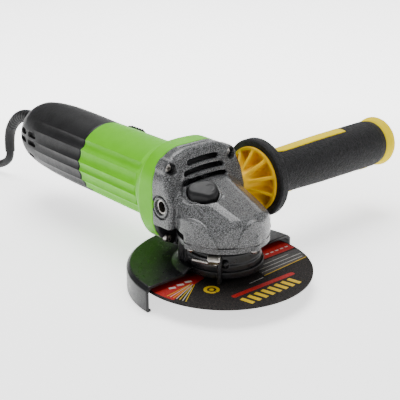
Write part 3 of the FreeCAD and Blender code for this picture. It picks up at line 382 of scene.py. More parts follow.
def banded(name, roughness, along, scale, distortion, dark, light, height):
    """Fine bands along one axis, such as rows of wire or stacked sheet steel."""
    look = Look(name, roughness, metallic=0.9)
    wave = look.node("ShaderNodeTexWave", bands_direction=along)
    wave.inputs["Scale"].default_value = scale
    wave.inputs["Distortion"].default_value = distortion
    look.link(look.place, wave.inputs["Vector"])
    look.colour(look.ramp(wave.outputs["Fac"], dark, light))
    look.bump(wave.outputs["Fac"], height)
    return look


WIRE_DARK, WIRE_LIGHT = (0.1, (0.09, 0.02, 0.006)), (0.7, (0.50, 0.17, 0.05))
SHEET_DARK, SHEET_LIGHT = (0.1, (0.05, 0.05, 0.055)), (0.6, (0.32, 0.32, 0.33))
GREEN = (0.100, 0.400, 0.0)
BLACK = (0.008, 0.008, 0.0085)
YELLOW = (0.740, 0.420, 0.0)
LEMON = (0.660, 0.500, 0.0)
LOOKS = {
    "cast_head": hammertone("hammered_grey", (0.002, 0.002, 0.0022), (0.17, 0.174, 0.178), 1.0),
    "cast_neck": hammertone("hammered_dark", (0.006, 0.006, 0.0065), (0.16, 0.16, 0.165), 0.7),
    "zinc_screws": metal("zinc_plate", (0.40, 0.38, 0.35), 0.3),
    "green_plastic": plastic("green_moulding", GREEN, 0.40, spread=0.04, specular=0.17),
    "black_plastic": plastic("black_moulding", BLACK, 0.42, specular=0.2),
    "gear_steel": metal("gear_steel_look", (0.42, 0.42, 0.44), 0.32),
    "ground_steel": metal("ground_steel_look", (0.58, 0.58, 0.60), 0.22, stretch=(1, 1, 6)),
    "spring_steel": metal("spring_steel_look", (0.32, 0.32, 0.34), 0.3),
    "race_steel": metal("race_steel_look", (0.66, 0.66, 0.68), 0.12, depth=0.00001),
    "black_steel": metal("black_oxide_look", (0.06, 0.06, 0.062), 0.38, metallic=0.8),
    "guard_paint": painted_steel(),
    "abrasive": grit(),
    "tin_ring": metal("tin_look", (0.62, 0.52, 0.30), 0.3),
    "laminations": banded("sheet_stack", 0.4, "X", 320.0, 0.0, SHEET_DARK, SHEET_LIGHT, 0.0001),
    "copper_wire": banded("copper_wire_rows", 0.3, "Y", 420.0, 1.2, WIRE_DARK, WIRE_LIGHT, 0.0003),
    "copper_bars": metal("copper_bar_look", (0.60, 0.26, 0.12), 0.25),
    "fan_plastic": plastic("fan_moulding", (0.006, 0.006, 0.0065), 0.6, specular=0.15),
    "black_rubber": rubber("smooth_rubber", (0.008, 0.008, 0.0085), 0.55, False),
    "grip_rubber": rubber("leather_rubber", (0.010, 0.010, 0.011), 0.6, True),
    "yellow_plastic": plastic("yellow_moulding", YELLOW, 0.4, spread=0.06, specular=0.12),
    "carbon": rubber("carbon_look", (0.02, 0.02, 0.02), 0.6, False),
    "brass_boxes": metal("brass_look", (0.70, 0.48, 0.18), 0.3),
    "cord_rubber": rubber("cord_sheath", (0.008, 0.008, 0.009), 0.45, False),
    "plug_brass": metal("pin_look", (0.72, 0.66, 0.48), 0.2, depth=0.00001),
}
LEMON_LOOK = plastic("lemon_moulding", LEMON, 0.5, spread=0.04, specular=0.05)
INK = {
    "red": printed("ink_red", (0.30, 0.004, 0.003)),
    "yellow": printed("ink_yellow", (0.55, 0.36, 0.0)),
    "white": printed("ink_white", (0.42, 0.41, 0.38)),
    "grey": printed("ink_grey", (0.045, 0.043, 0.042)),
}
for row in frame["record"]["subparts"]:
    part = frame["nodes"][row["node"]]
    part.data.materials.clear()
    part.data.materials.append(LOOKS[row["material_slot"]].material)
cord.data.materials.append(LOOKS["cord_rubber"].material)

# ---------------------------------------------------------------- mesh helpers


def piece(name, points, faces, slot, body, replaced=(), look=None):
    """A mesh object from points in millimetres, riding on a body and standing for CAD nodes."""
    mesh = bpy.data.meshes.new(name)
    points = np.asarray(points, dtype=np.float64) * MM
    faces = np.asarray(faces)
    mesh.vertices.add(len(points))
    mesh.vertices.foreach_set("co", points.ravel())
    sides = faces.shape[1]
    mesh.loops.add(faces.size)
    mesh.loops.foreach_set("vertex_index", faces.ravel())
    mesh.polygons.add(len(faces))
    mesh.polygons.foreach_set("loop_start", np.arange(len(faces)) * sides)
    mesh.polygons.foreach_set("use_smooth", np.ones(len(faces), dtype=bool))
    mesh.update(calc_edges=True)
    mesh.validate()
    mesh.materials.append((look or LOOKS[slot]).material)
    made = bpy.data.objects.new(name, mesh)
    bpy.context.scene.collection.objects.link(made)
    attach(made, body)
    if replaced:
        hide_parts(*replaced)
    return made


def smin(first, second, round_off):
    """The union of two distance fields, its inner corner filled to a radius."""
    share = np.clip(0.5 + 0.5 * (second - first) / round_off, 0, 1)
    return second + (first - second) * share - round_off * share * (1 - share)


def smax(first, second, round_off):
    """The common part of two distance fields, its outer corner rounded."""
    return -smin(-first, -second, round_off)


def rounded_box(u, v, half_u, half_v, corner):
    a = np.abs(u) - half_u + corner
    b = np.abs(v) - half_v + corner
    return np.hypot(np.maximum(a, 0), np.maximum(b, 0)) + np.minimum(np.maximum(a, b), 0) - corner


def between(value, low, high):
    return np.maximum(low - value, value - high)


def surface_nets(field, corner, step):
    """The surface where a sampled distance field is zero, as points and four-sided faces."""
    inside = field < 0
    shape = np.array(field.shape)
    cells = shape - 1
    total = np.zeros(cells, dtype=np.float32)
    sums = np.zeros((3, *cells), dtype=np.float32)
    for axis in range(3):
        near = [slice(None)] * 3
        far = [slice(None)] * 3
        near[axis] = slice(0, -1)
        far[axis] = slice(1, None)
        start = field[tuple(near)]
        end = field[tuple(far)]
        crossed = inside[tuple(near)] != inside[tuple(far)]
        part = np.where(crossed, start / np.where(crossed, start - end, 1), 0).astype(np.float32)
        others = [a for a in range(3) if a != axis]
        for first in (0, 1):
            for second in (0, 1):
                pick = [slice(None)] * 3
                pick[others[0]] = slice(first, cells[others[0]] + first)
                pick[others[1]] = slice(second, cells[others[1]] + second)
                hit = crossed[tuple(pick)]
                total += hit
                sums[axis] += part[tuple(pick)] * hit
                sums[others[0]] += first * hit
                sums[others[1]] += second * hit
    active = total > 0
    index = np.full(cells, -1, dtype=np.int64)
    index[active] = np.arange(active.sum())
    where = np.argwhere(active)
    points = np.stack([sums[a][active] / total[active] for a in range(3)], axis=1) + where
    points = points * step + np.asarray(corner)
    faces = []
    for axis in range(3):
        others = [a for a in range(3) if a != axis]
        near = [slice(1, -1)] * 3
        far = [slice(1, -1)] * 3
        near[axis] = slice(0, -1)
        far[axis] = slice(1, None)
        a = inside[tuple(near)]
        b = inside[tuple(far)]
        offset = np.array([1, 1, 1])
        offset[axis] = 0
        for turned_in in (True, False):
            spots = np.argwhere((a != b) & (a == turned_in)) + offset
            if not len(spots):
                continue
            ids = []
            for first, second in ((0, 0), (1, 0), (1, 1), (0, 1)):
                moved = spots.copy()
                moved[:, others[0]] -= first
                moved[:, others[1]] -= second
                ids.append(index[moved[:, 0], moved[:, 1], moved[:, 2]])
            quads = np.stack(ids, axis=1)
            if turned_in == (axis == 1):
                quads = quads[:, ::-1]
            faces.append(quads)
    return points, np.concatenate(faces)


def sampled(low, high, step):
    """Coordinates of a block of grid points, for a distance field."""
    axes = [np.arange(a, b + step, step, dtype=np.float32) for a, b in zip(low, high)]
    return np.meshgrid(*axes, indexing="ij")


def moulded(name, field, low, step, slot, body, replaced=(), look=None):
    """A piece from a distance field over a sampled block."""
    points, faces = surface_nets(field, low, step)
    return piece(name, points, faces, slot, body, replaced, look)


def skin(rings, closed_round, closed_along):
    """Faces over a grid of points, shaped (along, round)."""
    along, round_count = rings
    last_along = along if closed_along else along - 1
    last_round = round_count if closed_round else round_count - 1
    i = np.arange(last_along)[:, None]
    j = np.arange(last_round)[None, :]
    here = i * round_count + j
    right = i * round_count + (j + 1) % round_count
    up = ((i + 1) % along) * round_count + j
    diagonal = ((i + 1) % along) * round_count + (j + 1) % round_count
    faces = np.stack([np.broadcast_to(a, here.shape) for a in (here, right, diagonal, up)], axis=-1)
    return faces.reshape(-1, 4)


def rounded_profile(corners, radii, steps=6):
    """A profile's corners replaced by arcs of the given radii. The profile is closed."""
    out = []
    count = len(corners)
    for number, corner in enumerate(corners):
        corner = np.array(corner, dtype=float)
        before = np.array(corners[number - 1], dtype=float) - corner
        after = np.array(corners[(number + 1) % count], dtype=float) - corner
        len_before = np.linalg.norm(before)
        len_after = np.linalg.norm(after)
        radius = radii[number] if isinstance(radii, (list, tuple)) else radii
        u, v = before / len_before, after / len_after
        half = math.acos(float(np.clip(np.dot(u, v), -1, 1))) / 2
        if radius <= 0 or half > 1.5:
            out.append(corner)
            continue
        reach = min(radius / math.tan(half), 0.48 * len_before, 0.48 * len_after)
        for step in range(steps + 1):
            t = step / steps
            a = corner + u * reach * (1 - t)
            b = corner + v * reach * t
            out.append(a * (1 - t) + b * t)
    return np.array(out)


def refined(profile, longest):
    """The closed profile with its long runs divided."""
    out = []
    for number, point in enumerate(profile):
        following = profile[(number + 1) % len(profile)]
        parts = max(1, int(math.ceil(np.linalg.norm(following - point) / longest)))
        for step in range(parts):
            out.append(point + (following - point) * step / parts)
    return np.array(out)


def lathe(name, corners, radii, slot, body, at=(0, 0, 0), axis="Z", replaced=(), sides=128,
          start=0.0, sweep=360.0, longest=4.0, shape=None, look=None):
    """A turned piece from a closed profile of (radius, height), whole or part of a turn."""
    profile = refined(rounded_profile(corners, radii), longest)
    whole = sweep >= 359.9
    angles = np.radians(start + sweep * np.arange(sides + (0 if whole else 1)) / sides)
    radius = profile[:, 0][None, :].repeat(len(angles), 0)
    height = profile[:, 1][None, :].repeat(len(angles), 0)
    turn = angles[:, None].repeat(len(profile), 1)
    if shape:
        radius, height = shape(radius, height, turn)
    u, v = radius * np.cos(turn), radius * np.sin(turn)
    if axis == "Z":
        grid = np.stack([u, v, height], axis=-1)
    elif axis == "X":
        grid = np.stack([height, u, v], axis=-1)
    else:
        grid = np.stack([v, height, u], axis=-1)
    points = grid.reshape(-1, 3) + np.array(at)
    faces = skin((len(angles), len(profile)), True, whole)
    made = piece(name, points, faces[:, ::-1], slot, body, replaced, look)
    if not whole:
        ends_closed(made, len(angles), len(profile))
    right_way_out(made)
    return made


def ends_closed(made, along, around):
    """Caps both ends of a part-turned piece."""
    mesh = bmesh.new()
    mesh.from_mesh(made.data)
    mesh.verts.ensure_lookup_table()
    for first in (0, (along - 1) * around):
        mesh.faces.new([mesh.verts[first + k] for k in range(around)])
    mesh.to_mesh(made.data)
    mesh.free()


def right_way_out(made):
    """Turns every face of a closed piece outward."""
    mesh = bmesh.new()
    mesh.from_mesh(made.data)
    bmesh.ops.recalc_face_normals(mesh, faces=mesh.faces)
    mesh.to_mesh(made.data)
    mesh.free()


# ---------------------------------------------------------------- gear head

# Height, ends across the tool and half width of each air slot in the head's sloping face.
HEAD_SLOTS = [(84.3, -13.5, 15.0, 1.9), (78.2, -17.5, 18.5, 1.8), (72.2, -19.5, 19.5, 1.6)]
LOCK_CENTRE = np.array([-8.0, -12.0])
LOCK_SLANT = math.radians(45.0)
SLANT = np.array([math.cos(LOCK_SLANT), math.sin(LOCK_SLANT)])


def teardrop(x, y, grow):
    """Distance to the lock button's outline: two circles joined by their outer lines."""
    wide, narrow = LOCK_CENTRE + SLANT * 3.4, LOCK_CENTRE - SLANT * 5.4
    along = np.clip(((x - narrow[0]) * SLANT[0] + (y - narrow[1]) * SLANT[1]) / 8.8, 0, 1)
    near_x = narrow[0] + along * 8.8 * SLANT[0]
    near_y = narrow[1] + along * 8.8 * SLANT[1]
    return np.hypot(x - near_x, y - near_y) - (5.2 + 1.8 * along) - grow


def gear_head():
    low, step = (-36.0, -37.5, 19.5), 0.55
    x, y, z = sampled(low, (35.0, 37.5, 95.5), step)
    radius = np.hypot(x, y)
    deck = (x + 20) * 0.3067 + (z - 71.8) * 0.9518
    flank = (x + 20) * 0.31 + (np.abs(y) - 17) * 0.5625 + (z - 71.8) * 0.767
    case = smax(radius - 31.9, deck, 5.0)
    case = smax(case, flank, 2.0)
    case = smax(case, 37.9 - z, 1.2)
    bar = rounded_box(y, z - 57.6, 34.9, 35.6, 24.5)
    slope = (x + 18.6) * 0.9553 + (z - 71.8) * 0.2957
    shoulder = smax(bar, np.maximum(slope, x + 15), 4.0)
    shoulder = np.maximum(shoulder, -34.2 - x)
    lower = np.maximum(np.maximum(radius - 34.3, z - 37.8), -27.2 - x)
    shoulder = smax(shoulder, -lower, 1.5)
    sweep = np.maximum(radius - 32.2, z - 34.0)
    shoulder = smax(shoulder, -sweep, 1.5)
    body = smin(case, shoulder, 3.5)
    turn = np.arctan2(y, x)
    for degrees, tall, wide in ((-90, 17.5, 23.0), (-4, 18.5, 12.5), (90, 11.0, 20.0)):
        away = (turn - math.radians(degrees)) * 32.0
        arch = (np.hypot(away / wide, (z - 37.0) / tall) - 1) * wide * 0.8
        pad = smax(np.maximum(radius - 33.1, 26 - radius), arch, 0.4)
        pad = smax(pad, 37.9 - z, 0.8)
        body = smin(body, pad, 0.3)
    for degrees in (0, 90, -90):
        angle = math.radians(degrees)
        bx, by = 29.4 * math.cos(angle), 29.4 * math.sin(angle)
        reach = np.sqrt((x - bx) ** 2 + (y - by) ** 2 + np.maximum(z - 42.0, 0) ** 2)
        boss = smax(reach - 4.7, 37.9 - z, 1.0)
        body = smin(body, boss, 1.2)
    shell = smax(body, -(body + 3.2), 0.8)
    near = (x + 8) * 0.755 - (y + 12) * 0.655
    scoop = smax(teardrop(x, y, 3.4), (66.0 - 0.80 * near) - z, 1.5)
    shell = smax(shell, -scoop, 1.6)
    body = smax(body, -scoop, 1.6)
    seat = np.maximum(teardrop(x, y, 3.6), between(z, 53.0, 64.5))
    seat = np.maximum(seat, body + 0.5)
    shell = smin(shell, seat, 1.0)
    lip = smax(teardrop(x, y, 2.2), body - 0.8, 0.8)
    lip = smax(lip, 56 - z, 0.5)
    shell = smin(shell, lip, 0.8)
    shell = smax(shell, -np.maximum(teardrop(x, y, 0.7), 55.6 - z), 0.5)
    for height, low_y, high_y, across in HEAD_SLOTS:
        level = z - height + 0.0035 * y * y - 0.02 * y
        slot = rounded_box(y - (low_y + high_y) / 2, level, (high_y - low_y) / 2, across, across)
        slot = np.maximum(slot, -30.6 - x)
        shell = smax(shell, -slot, 0.6)
    oval = np.abs(rounded_box(y, x + 26.6, 20.0, 3.4, 3.4)) - 0.4
    oval = np.maximum(oval, 92.4 - z)
    shell = smax(shell, -oval, 0.4)
    for side_y, pocket_z, pocket in ((27, 82.3, 4.0), (-27, 82.3, 4.0)):
        cup = np.hypot(y - side_y, z - pocket_z)
        wall = smax(np.maximum(cup - pocket - 1.9, between(x, -33.5, -23.4)), body - 1.9, 0.8)
        shell = smin(shell, wall, 1.0)
        shell = smax(shell, -np.maximum(cup - pocket, -29.0 - x), 0.6)
    for side_y in (30.0, -30.0):
        cup = np.hypot(y - side_y * 0.95, z - 32.5)
        web = np.maximum(np.maximum(cup - 12.6, between(x, -34.2, -14)), body + 0.4)
        shell = smin(shell, web, 0.8)
        shell = smax(shell, -np.maximum(np.maximum(cup - 10.2, -28.6 - x), x + 4), 1.2)
    across = np.hypot(x + 25.6, z - ROTOR_Z)
    core = np.maximum(np.maximum(across - 11, between(np.abs(y), 14, 33.2)), body + 0.3)
    shell = smin(shell, core, 0.6)
    hub = np.hypot(x + 26, z - ROTOR_Z)
    shell = smax(shell, -np.maximum(hub - 8.1, 32.7 - y), 0.5)
    groove = np.maximum(np.abs(across - 8.0) - 0.55, y + 33.2)
    shell = smax(shell, -groove, 0.5)
    shell = smax(shell, -np.maximum(np.maximum(hub - 5.5, y + 32.6), -40 - y), 0.6)
    shell = smax(shell, -np.maximum(hub - 4.2, np.abs(y) - 60), 0.4)
    shell = np.maximum(shell, -34.2 - x)
    points, faces = surface_nets(shell, low, step)
    head = piece("head_casting", points, faces, "cast_head", "housing", ("gear_housing",))
    # Painted shade: faces more than 2 mm deep in the air slots, and the faces in the pockets beside the lower
    # bosses, take the black fan plastic.
    cx, cy, cz = points[faces].mean(axis=1).T
    face_x = -18.6 - (cz - 71.8) * 0.31
    vent_painted_shade = (np.abs(cy) < 21) & (cz > 68.5) & (cz < 88) & (cx < face_x - 2.0)
    pocket_painted_shade = (np.hypot(np.abs(cy) - 28.5, cz - 32.5) < 10.35) & (cx < -19.0) & (cx > -34.0)
    head.data.materials.append(LOOKS["fan_plastic"].material)
    head.data.polygons.foreach_set("material_index", (vent_painted_shade | pocket_painted_shade).astype(np.int32))
    return head


def lock_button():
    low, step = (-22.0, -26.0, 59.4), 0.4
    x, y, z = sampled(low, (3.0, 0.5, 76.5), step)
    outline = teardrop(x, y, 0.0)
    near = (x + 8) * 0.755 - (y + 12) * 0.655
    crown = (z - 70.3 + 0.50 * near + 0.006 * ((x + 8) ** 2 + (y + 12) ** 2)) * 0.88
    body = smax(outline, crown, 2.0)
    body = smax(body, 60.2 - z, 0.4)
    spring_room = np.maximum(np.hypot(x + 8, y + 12) - 4.0, z - 67.1)
    body = smax(body, -spring_room, 0.3)
    mark = np.abs(np.hypot(x + 4.6, y + 8.6) - 3.0) - 0.35
    mark = np.maximum(np.maximum(mark, crown - 0.2), -(y + 8.6) - 0.5)
    body = smin(body, mark, 0.4)
    moulded("lock_button_cap", body, low, step, "black_plastic", "lock", ("lock_button",))


gear_head()
lock_button()

# ---------------------------------------------------------------- motor housing and rear cover

RIDGES = [137.0, 154.0, 172.5, 187.0, 204.0, 220.0, 236.0]


def flute_depth(turn):
    """How deep the concave flutes lie at an angle round the barrel, +Y at nought, +Z at a right angle."""
    degrees = np.degrees(turn) % 360.0
    depth = np.zeros_like(degrees)
    right = np.array(RIDGES)
    for start, end in zip(right[:-1], right[1:]):
        deep = 1.9 if start == 137.0 else 1.45
        for low, high in ((start, end), (180.0 - end, 180.0 - start)):
            middle = (low + high) / 2
            half = (high - low) / 2
            away = np.abs((degrees - middle + 180.0) % 360.0 - 180.0) / half
            depth = np.maximum(depth, deep * np.clip(1 - away ** 2, 0, 1))
    return depth


def square_radius(turn):
    """The radius of the rounded square flange at an angle, measured from the rotor's axis."""
    c, s = np.cos(turn), np.sin(turn)
    radius = np.full_like(turn, 30.0)
    for _ in range(40):
        gap = rounded_box(radius * c, radius * s + ROTOR_Z - 57.6, 34.9, 35.6, 24.5)
        radius = radius - gap * 0.9
    return radius


def shell_between(name, stations, outer, inner, slot, replaced, count=720):
    """A double-walled sleeve round the rotor's axis: outer and inner radii over x and angle."""
    turn = np.linspace(0, 2 * math.pi, count, endpoint=False)[None, :]
    xs = stations[:, None]
    ring_out = outer(xs + 0 * turn, turn + 0 * xs)
    ring_in = inner(xs + 0 * turn, turn + 0 * xs)
    rows = []
    for radii, order in ((ring_out, 1), (ring_in, -1)):
        grid = np.stack([
            xs + 0 * turn,
            radii * np.cos(turn),
            ROTOR_Z + radii * np.sin(turn),
        ], axis=-1)[::order]
        rows.append(grid)
    grid = np.concatenate(rows)
    faces = skin((len(grid), count), True, True)
    made = piece(name, grid.reshape(-1, 3), faces, slot, "housing", replaced)
    right_way_out(made)
    return made


SLIDER_ANGLE = math.radians(38.0)


def turning_radius(x):
    """The flare's turned outline."""
    away = [34.2, 44.0, 48.2, 53.2, 57.8, 60.6, 62.4, 64.0]
    return np.interp(-x, away, [60, 46, 39.0, 33.6, 30.4, 29.1, 28.75, 28.7])


def motor_outer(x, turn):
    flange = square_radius(turn)
    radius = smin(flange, turning_radius(x), 3.5)
    cut_in = np.clip((-61.4 - x) / 1.4, 0, 1)
    cut_in = np.sqrt(cut_in)
    back = np.clip((x + 134.4) / 0.8, 0, 1)
    radius = radius - flute_depth(turn) * cut_in
    radius = radius - 0.5 * (1 - back)
    front = np.clip((-34.2 - x) / 0.9, 0, 1)
    radius = radius - 0.6 * (1 - front) ** 2
    rotor_turn = (turn - SLIDER_ANGLE + math.pi) % (2 * math.pi) - math.pi
    across = np.abs(rotor_turn * 28.0)
    bed = rounded_box(x + 118.4, across, 16.2, 7.9, 1.0)
    radius = np.where(bed < 0, np.minimum(radius, 27.4), radius)
    return radius


def motor_inner(x, turn):
    return np.minimum(np.where(x > -62, 26.5, 25.4), motor_outer(x, turn) - 1.6)


stations = np.unique(np.concatenate([
    np.arange(-134.4, -60.0, 0.8),
    np.arange(-64.0, -34.2, 0.4),
    np.array([-134.4, -134.0, -34.6, -34.2]),
]))
shell_between("motor_shell", stations, motor_outer, motor_inner, "green_plastic", ("motor_housing",))

COVER_X = np.array([-134.4, -160.4, -186.4, -204.4, -220.4, -230.0, -235.4, -236.8])
COVER_R = np.array([28.7, 28.9, 28.5, 27.4, 25.2, 22.0, 17.5, 14.0])


def smooth_curve(x, xs, ys):
    """A smooth curve through points given from the highest x down, by monotone cubics."""
    xs, ys = xs[::-1], ys[::-1]
    h = np.diff(xs)
    slopes = np.diff(ys) / h
    tangents = np.zeros_like(ys)
    product, total = slopes[:-1] * slopes[1:], slopes[:-1] + slopes[1:]
    tangents[1:-1] = np.where(product > 0, 2 * product / total, 0)
    tangents[0], tangents[-1] = slopes[0], slopes[-1]
    k = np.clip(np.searchsorted(xs, x) - 1, 0, len(h) - 1)
    t = (x - xs[k]) / h[k]
    return ((2 * t ** 3 - 3 * t ** 2 + 1) * ys[k] + (t ** 3 - 2 * t ** 2 + t) * h[k] * tangents[k]
            + (-2 * t ** 3 + 3 * t ** 2) * ys[k + 1] + (t ** 3 - t ** 2) * h[k] * tangents[k + 1])


def cover_outer(x, turn):
    radius = smooth_curve(x, COVER_X, COVER_R)
    crown = np.interp(-x, [140.0, 170.0, 200.0, 222.0, 231.0, 236.8], [0.0, 0.9, 1.9, 2.4, 1.8, 0.6])
    radius = radius + crown * np.maximum(np.sin(turn), 0) ** 2
    fade = np.interp(-x, [134.4, 150.0, 190.0, 206.0], [0.8, 0.7, 0.4, 0.0])
    radius = radius - flute_depth(turn) * fade
    radius = radius - 0.5 * np.clip((x + 135.4) / 1.0, 0, 1)
    height = radius * np.sin(turn)
    side = np.abs(np.cos(turn)) > 0.5
    for centre_x in (-205.0, -222.0):
        for level in (7.5, 0.7):
            vent = rounded_box(x - centre_x, height - level, 6.4, 2.1, 2.0)
            radius = np.where((vent < 0) & side, radius - 2.4 * np.clip(-vent / 0.25, 0, 1), radius)
    low_vent = rounded_box(x + 213.0, height + 12.0, 6.0, 1.6, 1.5)
    radius = np.where((low_vent < 0) & side, radius - 2.0 * np.clip(-low_vent / 0.25, 0, 1), radius)
    return radius


def cover_inner(x, turn):
    return np.maximum(smooth_curve(np.minimum(x + 2.0, -134.4), COVER_X, COVER_R) - 3.0, 6.0)


stations = np.unique(np.concatenate([
    np.arange(-229.0, -134.4, 0.5),
    np.arange(-236.8, -229.0, 0.4),
    np.array([-134.4, -236.8]),
]))
shell_between("rear_cover_shell", stations, cover_outer, cover_inner, "black_plastic", ("rear_cover",),
              count=900)

# ---------------------------------------------------------------- guard, collar and clamp

GUARD = [
    (26.0, 17.6), (30.5, 17.6), (35.5, 14.4), (63.5, 14.4), (65.8, 12.2), (65.8, -0.4), (64.2, -0.4),
    (64.2, -2.0), (67.4, -2.0), (67.4, 13.4), (64.8, 16.0), (36.0, 16.0), (31.0, 19.2), (26.0, 19.2),
]
GUARD_RADII = [0.3, 2.0, 2.0, 1.5, 1.5, 0.2, 0.2, 0.7, 0.7, 2.2, 2.2, 2.0, 2.0, 0.7]
lathe("guard_bowl", GUARD, GUARD_RADII, "guard_paint", "guard", replaced=("guard_shell",), sides=150,
      start=90.0, sweep=180.0)
GUARD_RING = [(25.65, 14.5), (28.2, 14.5), (28.2, 19.2), (25.65, 19.2)]
lathe("guard_ring", GUARD_RING, 0.7, "guard_paint", "guard", sides=120)


def collar_piece():
    low, step = (-34.0, -34.0, 11.8), 0.5
    x, y, z = sampled(low, (34.0, 34.0, 34.2), step)
    radius = np.hypot(x, y)
    band = smax(np.abs(radius - 24.25) - 1.4, between(z, 14.4, 30.4), 0.7)
    step_band = smax(np.abs(radius - 25.0) - 1.5, between(z, 15.0, 23.5), 0.8)
    body = smin(band, step_band, 0.6)

    def lug(degrees, start, end, half, bottom, top):
        angle = math.radians(degrees)
        along = x * math.cos(angle) + y * math.sin(angle)
        across = -x * math.sin(angle) + y * math.cos(angle)
        block = smax(rounded_box(along - (start + end) / 2, across, (end - start) / 2, half, min(1.2, half)),
                     between(z, bottom, top), 0.8)
        return np.where(along > 0, block, 50.0)

    body = smin(body, lug(-121.0, 24.0, 31.4, 2.6, 16.4, 33.4), 0.8)
    body = smin(body, lug(-113.0, 24.0, 28.6, 2.4, 17.0, 31.0), 0.6)
    body = smin(body, lug(-47.6, 24.0, 31.6, 1.5, 12.4, 30.4), 0.8)
    knob_angle = math.radians(-39.5)
    knob_x, knob_y = 26.2 * math.cos(knob_angle), 26.2 * math.sin(knob_angle)
    knob = np.sqrt((x - knob_x) ** 2 + (y - knob_y) ** 2 + (z - 25.0) ** 2) - 2.6
    body = smin(body, knob, 0.6)
    body = np.maximum(body, 22.85 - radius)
    moulded("clamp_collar", body, low, step, "guard_paint", "guard", ("guard_collar",))


def tangent_rod(name, degrees, radius_at, height, length, radius, slot, replaced=()):
    """A turned rod lying along the collar's edge, its ends chamfered."""
    angle = math.radians(degrees)
    half = length / 2
    edge = half - radius * 0.25
    corners = [(0.01, -half), (radius * 0.8, -half), (radius, -edge)]
    corners += [(radius, edge), (radius * 0.8, half), (0.01, half)]
    made = lathe(name, corners, 0.3, slot, "guard", axis="Y", sides=40, replaced=replaced, longest=1.5)
    turn = np.array([[math.cos(angle), -math.sin(angle)], [math.sin(angle), math.cos(angle)]])
    for vertex in made.data.vertices:
        x, y = turn @ np.array([vertex.co.x + radius_at * MM, vertex.co.y])
        vertex.co = (x, y, vertex.co.z + height * MM)
    made.data.update()


collar_piece()
tangent_rod("clamp_barrel", -54.5, 29.0, 29.0, 8.6, 3.4, "zinc_screws", ("guard_clamp_nut",))
tangent_rod("clamp_pin", -68.0, 27.2, 25.2, 20.0, 1.3, "zinc_screws", ("guard_clamp_screw",))
STRAP = [(26.3, 22.4), (27.5, 22.4), (27.5, 24.0), (27.1, 24.4), (27.5, 24.8), (27.5, 28.0), (26.3, 28.0)]
lathe("clamp_strap", STRAP,
      0.3, "black_steel", "guard", sides=60, start=-121.0, sweep=72.0)

# ---------------------------------------------------------------- disc print, generic shapes only

DISC_TOP = 10.8
INK_THICKNESS = 0.05
THIN_LINES = [(25.2, 13.0, 54.0), (21.0, 14.0, 57.0), (16.8, 18.0, 48.0), (31.6, -5.0, 8.5)]


def print_patch(name, outline, ink, lift=0.03):
    """A thin layer of ink lying on the disc, from its outline in millimetres."""
    mesh = bmesh.new()
    ring = [mesh.verts.new((px * MM, py * MM, (DISC_TOP + lift) * MM)) for px, py in outline]
    face = mesh.faces.new(ring)
    grown = bmesh.ops.extrude_face_region(mesh, geom=[face])["geom"]
    raised = [v for v in grown if isinstance(v, bmesh.types.BMVert)]
    bmesh.ops.translate(mesh, vec=(0, 0, INK_THICKNESS * MM), verts=raised)
    bmesh.ops.triangulate(mesh, faces=mesh.faces, ngon_method="EAR_CLIP")
    bmesh.ops.recalc_face_normals(mesh, faces=mesh.faces)
    data = bpy.data.meshes.new(name)
    mesh.to_mesh(data)
    mesh.free()
    data.materials.append(INK[ink].material)
    made = bpy.data.objects.new(name, data)
    bpy.context.scene.collection.objects.link(made)
    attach(made, "disc")


def sector(inner, outer, first, last, steps=40):
    """A ring sector's outline."""
    angles = [math.radians(first + (last - first) * k / steps) for k in range(steps + 1)]
    out = [(outer * math.cos(a), outer * math.sin(a)) for a in angles]
    return out + [(inner * math.cos(a), inner * math.sin(a)) for a in reversed(angles)]


def bar(start, end, width, slant=0.0):
    """A straight bar's outline between two points, its ends slanted."""
    start, end = np.array(start, float), np.array(end, float)
    along = (end - start) / np.linalg.norm(end - start)
    side = np.array([-along[1], along[0]]) * width / 2
    lean = along * slant
    return [tuple(p) for p in (start + side + lean, start - side - lean, end - side - lean, end + side + lean)]


def pill(start, end, width, steps=10):
    """A bar with round ends."""
    start, end = np.array(start, float), np.array(end, float)
    along = (end - start) / np.linalg.norm(end - start)
    heading = math.atan2(along[1], along[0])
    out = []
    for centre, first in ((end, -90), (start, 90)):
        for k in range(steps + 1):
            a = heading + math.radians(first + 180 * k / steps)
            out.append((centre[0] + width / 2 * math.cos(a), centre[1] + width / 2 * math.sin(a)))
    return out


def disc_print():
    """Bands, bars and marks of a generic label. There is no lettering on it."""
    print_patch("print_red_left", PRINT_LEFT, "red")
    print_patch("print_red_right", PRINT_RIGHT, "red")
    print_patch("print_grey_band", PRINT_GREY, "grey")
    print_patch("print_gold_line", bar((29.6, 11.0), (27.4, 55.0), 0.6), "yellow", 0.06)
    print_patch("print_red_pill", pill((38.2, -25.0), (39.6, 27.5), 3.8), "red")
    for number in range(8):
        y = -24.0 + 6.2 * number
        print_patch(f"print_yellow_bar_{number}", bar((43.6, y), (53.0, y + 2.2), 3.4), "yellow")
    tip = np.array([5.5, -29.5])
    for number in range(7):
        end = np.array([9.5 + 2.3 * number, -58.0 + 0.7 * number])
        start = tip + (end - tip) * (0.18 + 0.08 * (number % 3))
        print_patch(f"print_streak_{number}", bar(start, end, 0.55), "white" if number % 2 else "yellow", 0.10)
    print_patch("print_ring_mark", sector_at((21.5, -30.0), 3.2, 5.4), "yellow")
    print_patch("print_ring_dot", sector_at((21.5, -30.0), 0.0, 1.7), "yellow")
    for number, (x, first, last) in enumerate(THIN_LINES):
        print_patch(f"print_thin_line_{number}", bar((x, first), (x - 0.5, last), 0.45), "white", 0.10)
    for number in range(8):
        y = 21.0 + 4.9 * number
        print_patch(f"print_dash_{number}", bar((6.0, y), (6.0, y + 3.0), 1.4), "white", 0.10)
    for number in range(3):
        y = -50.5 + 7.0 * number
        print_patch(f"print_left_dash_{number}", bar((2.0, y), (3.5, y + 4.6), 2.4), "white", 0.10)


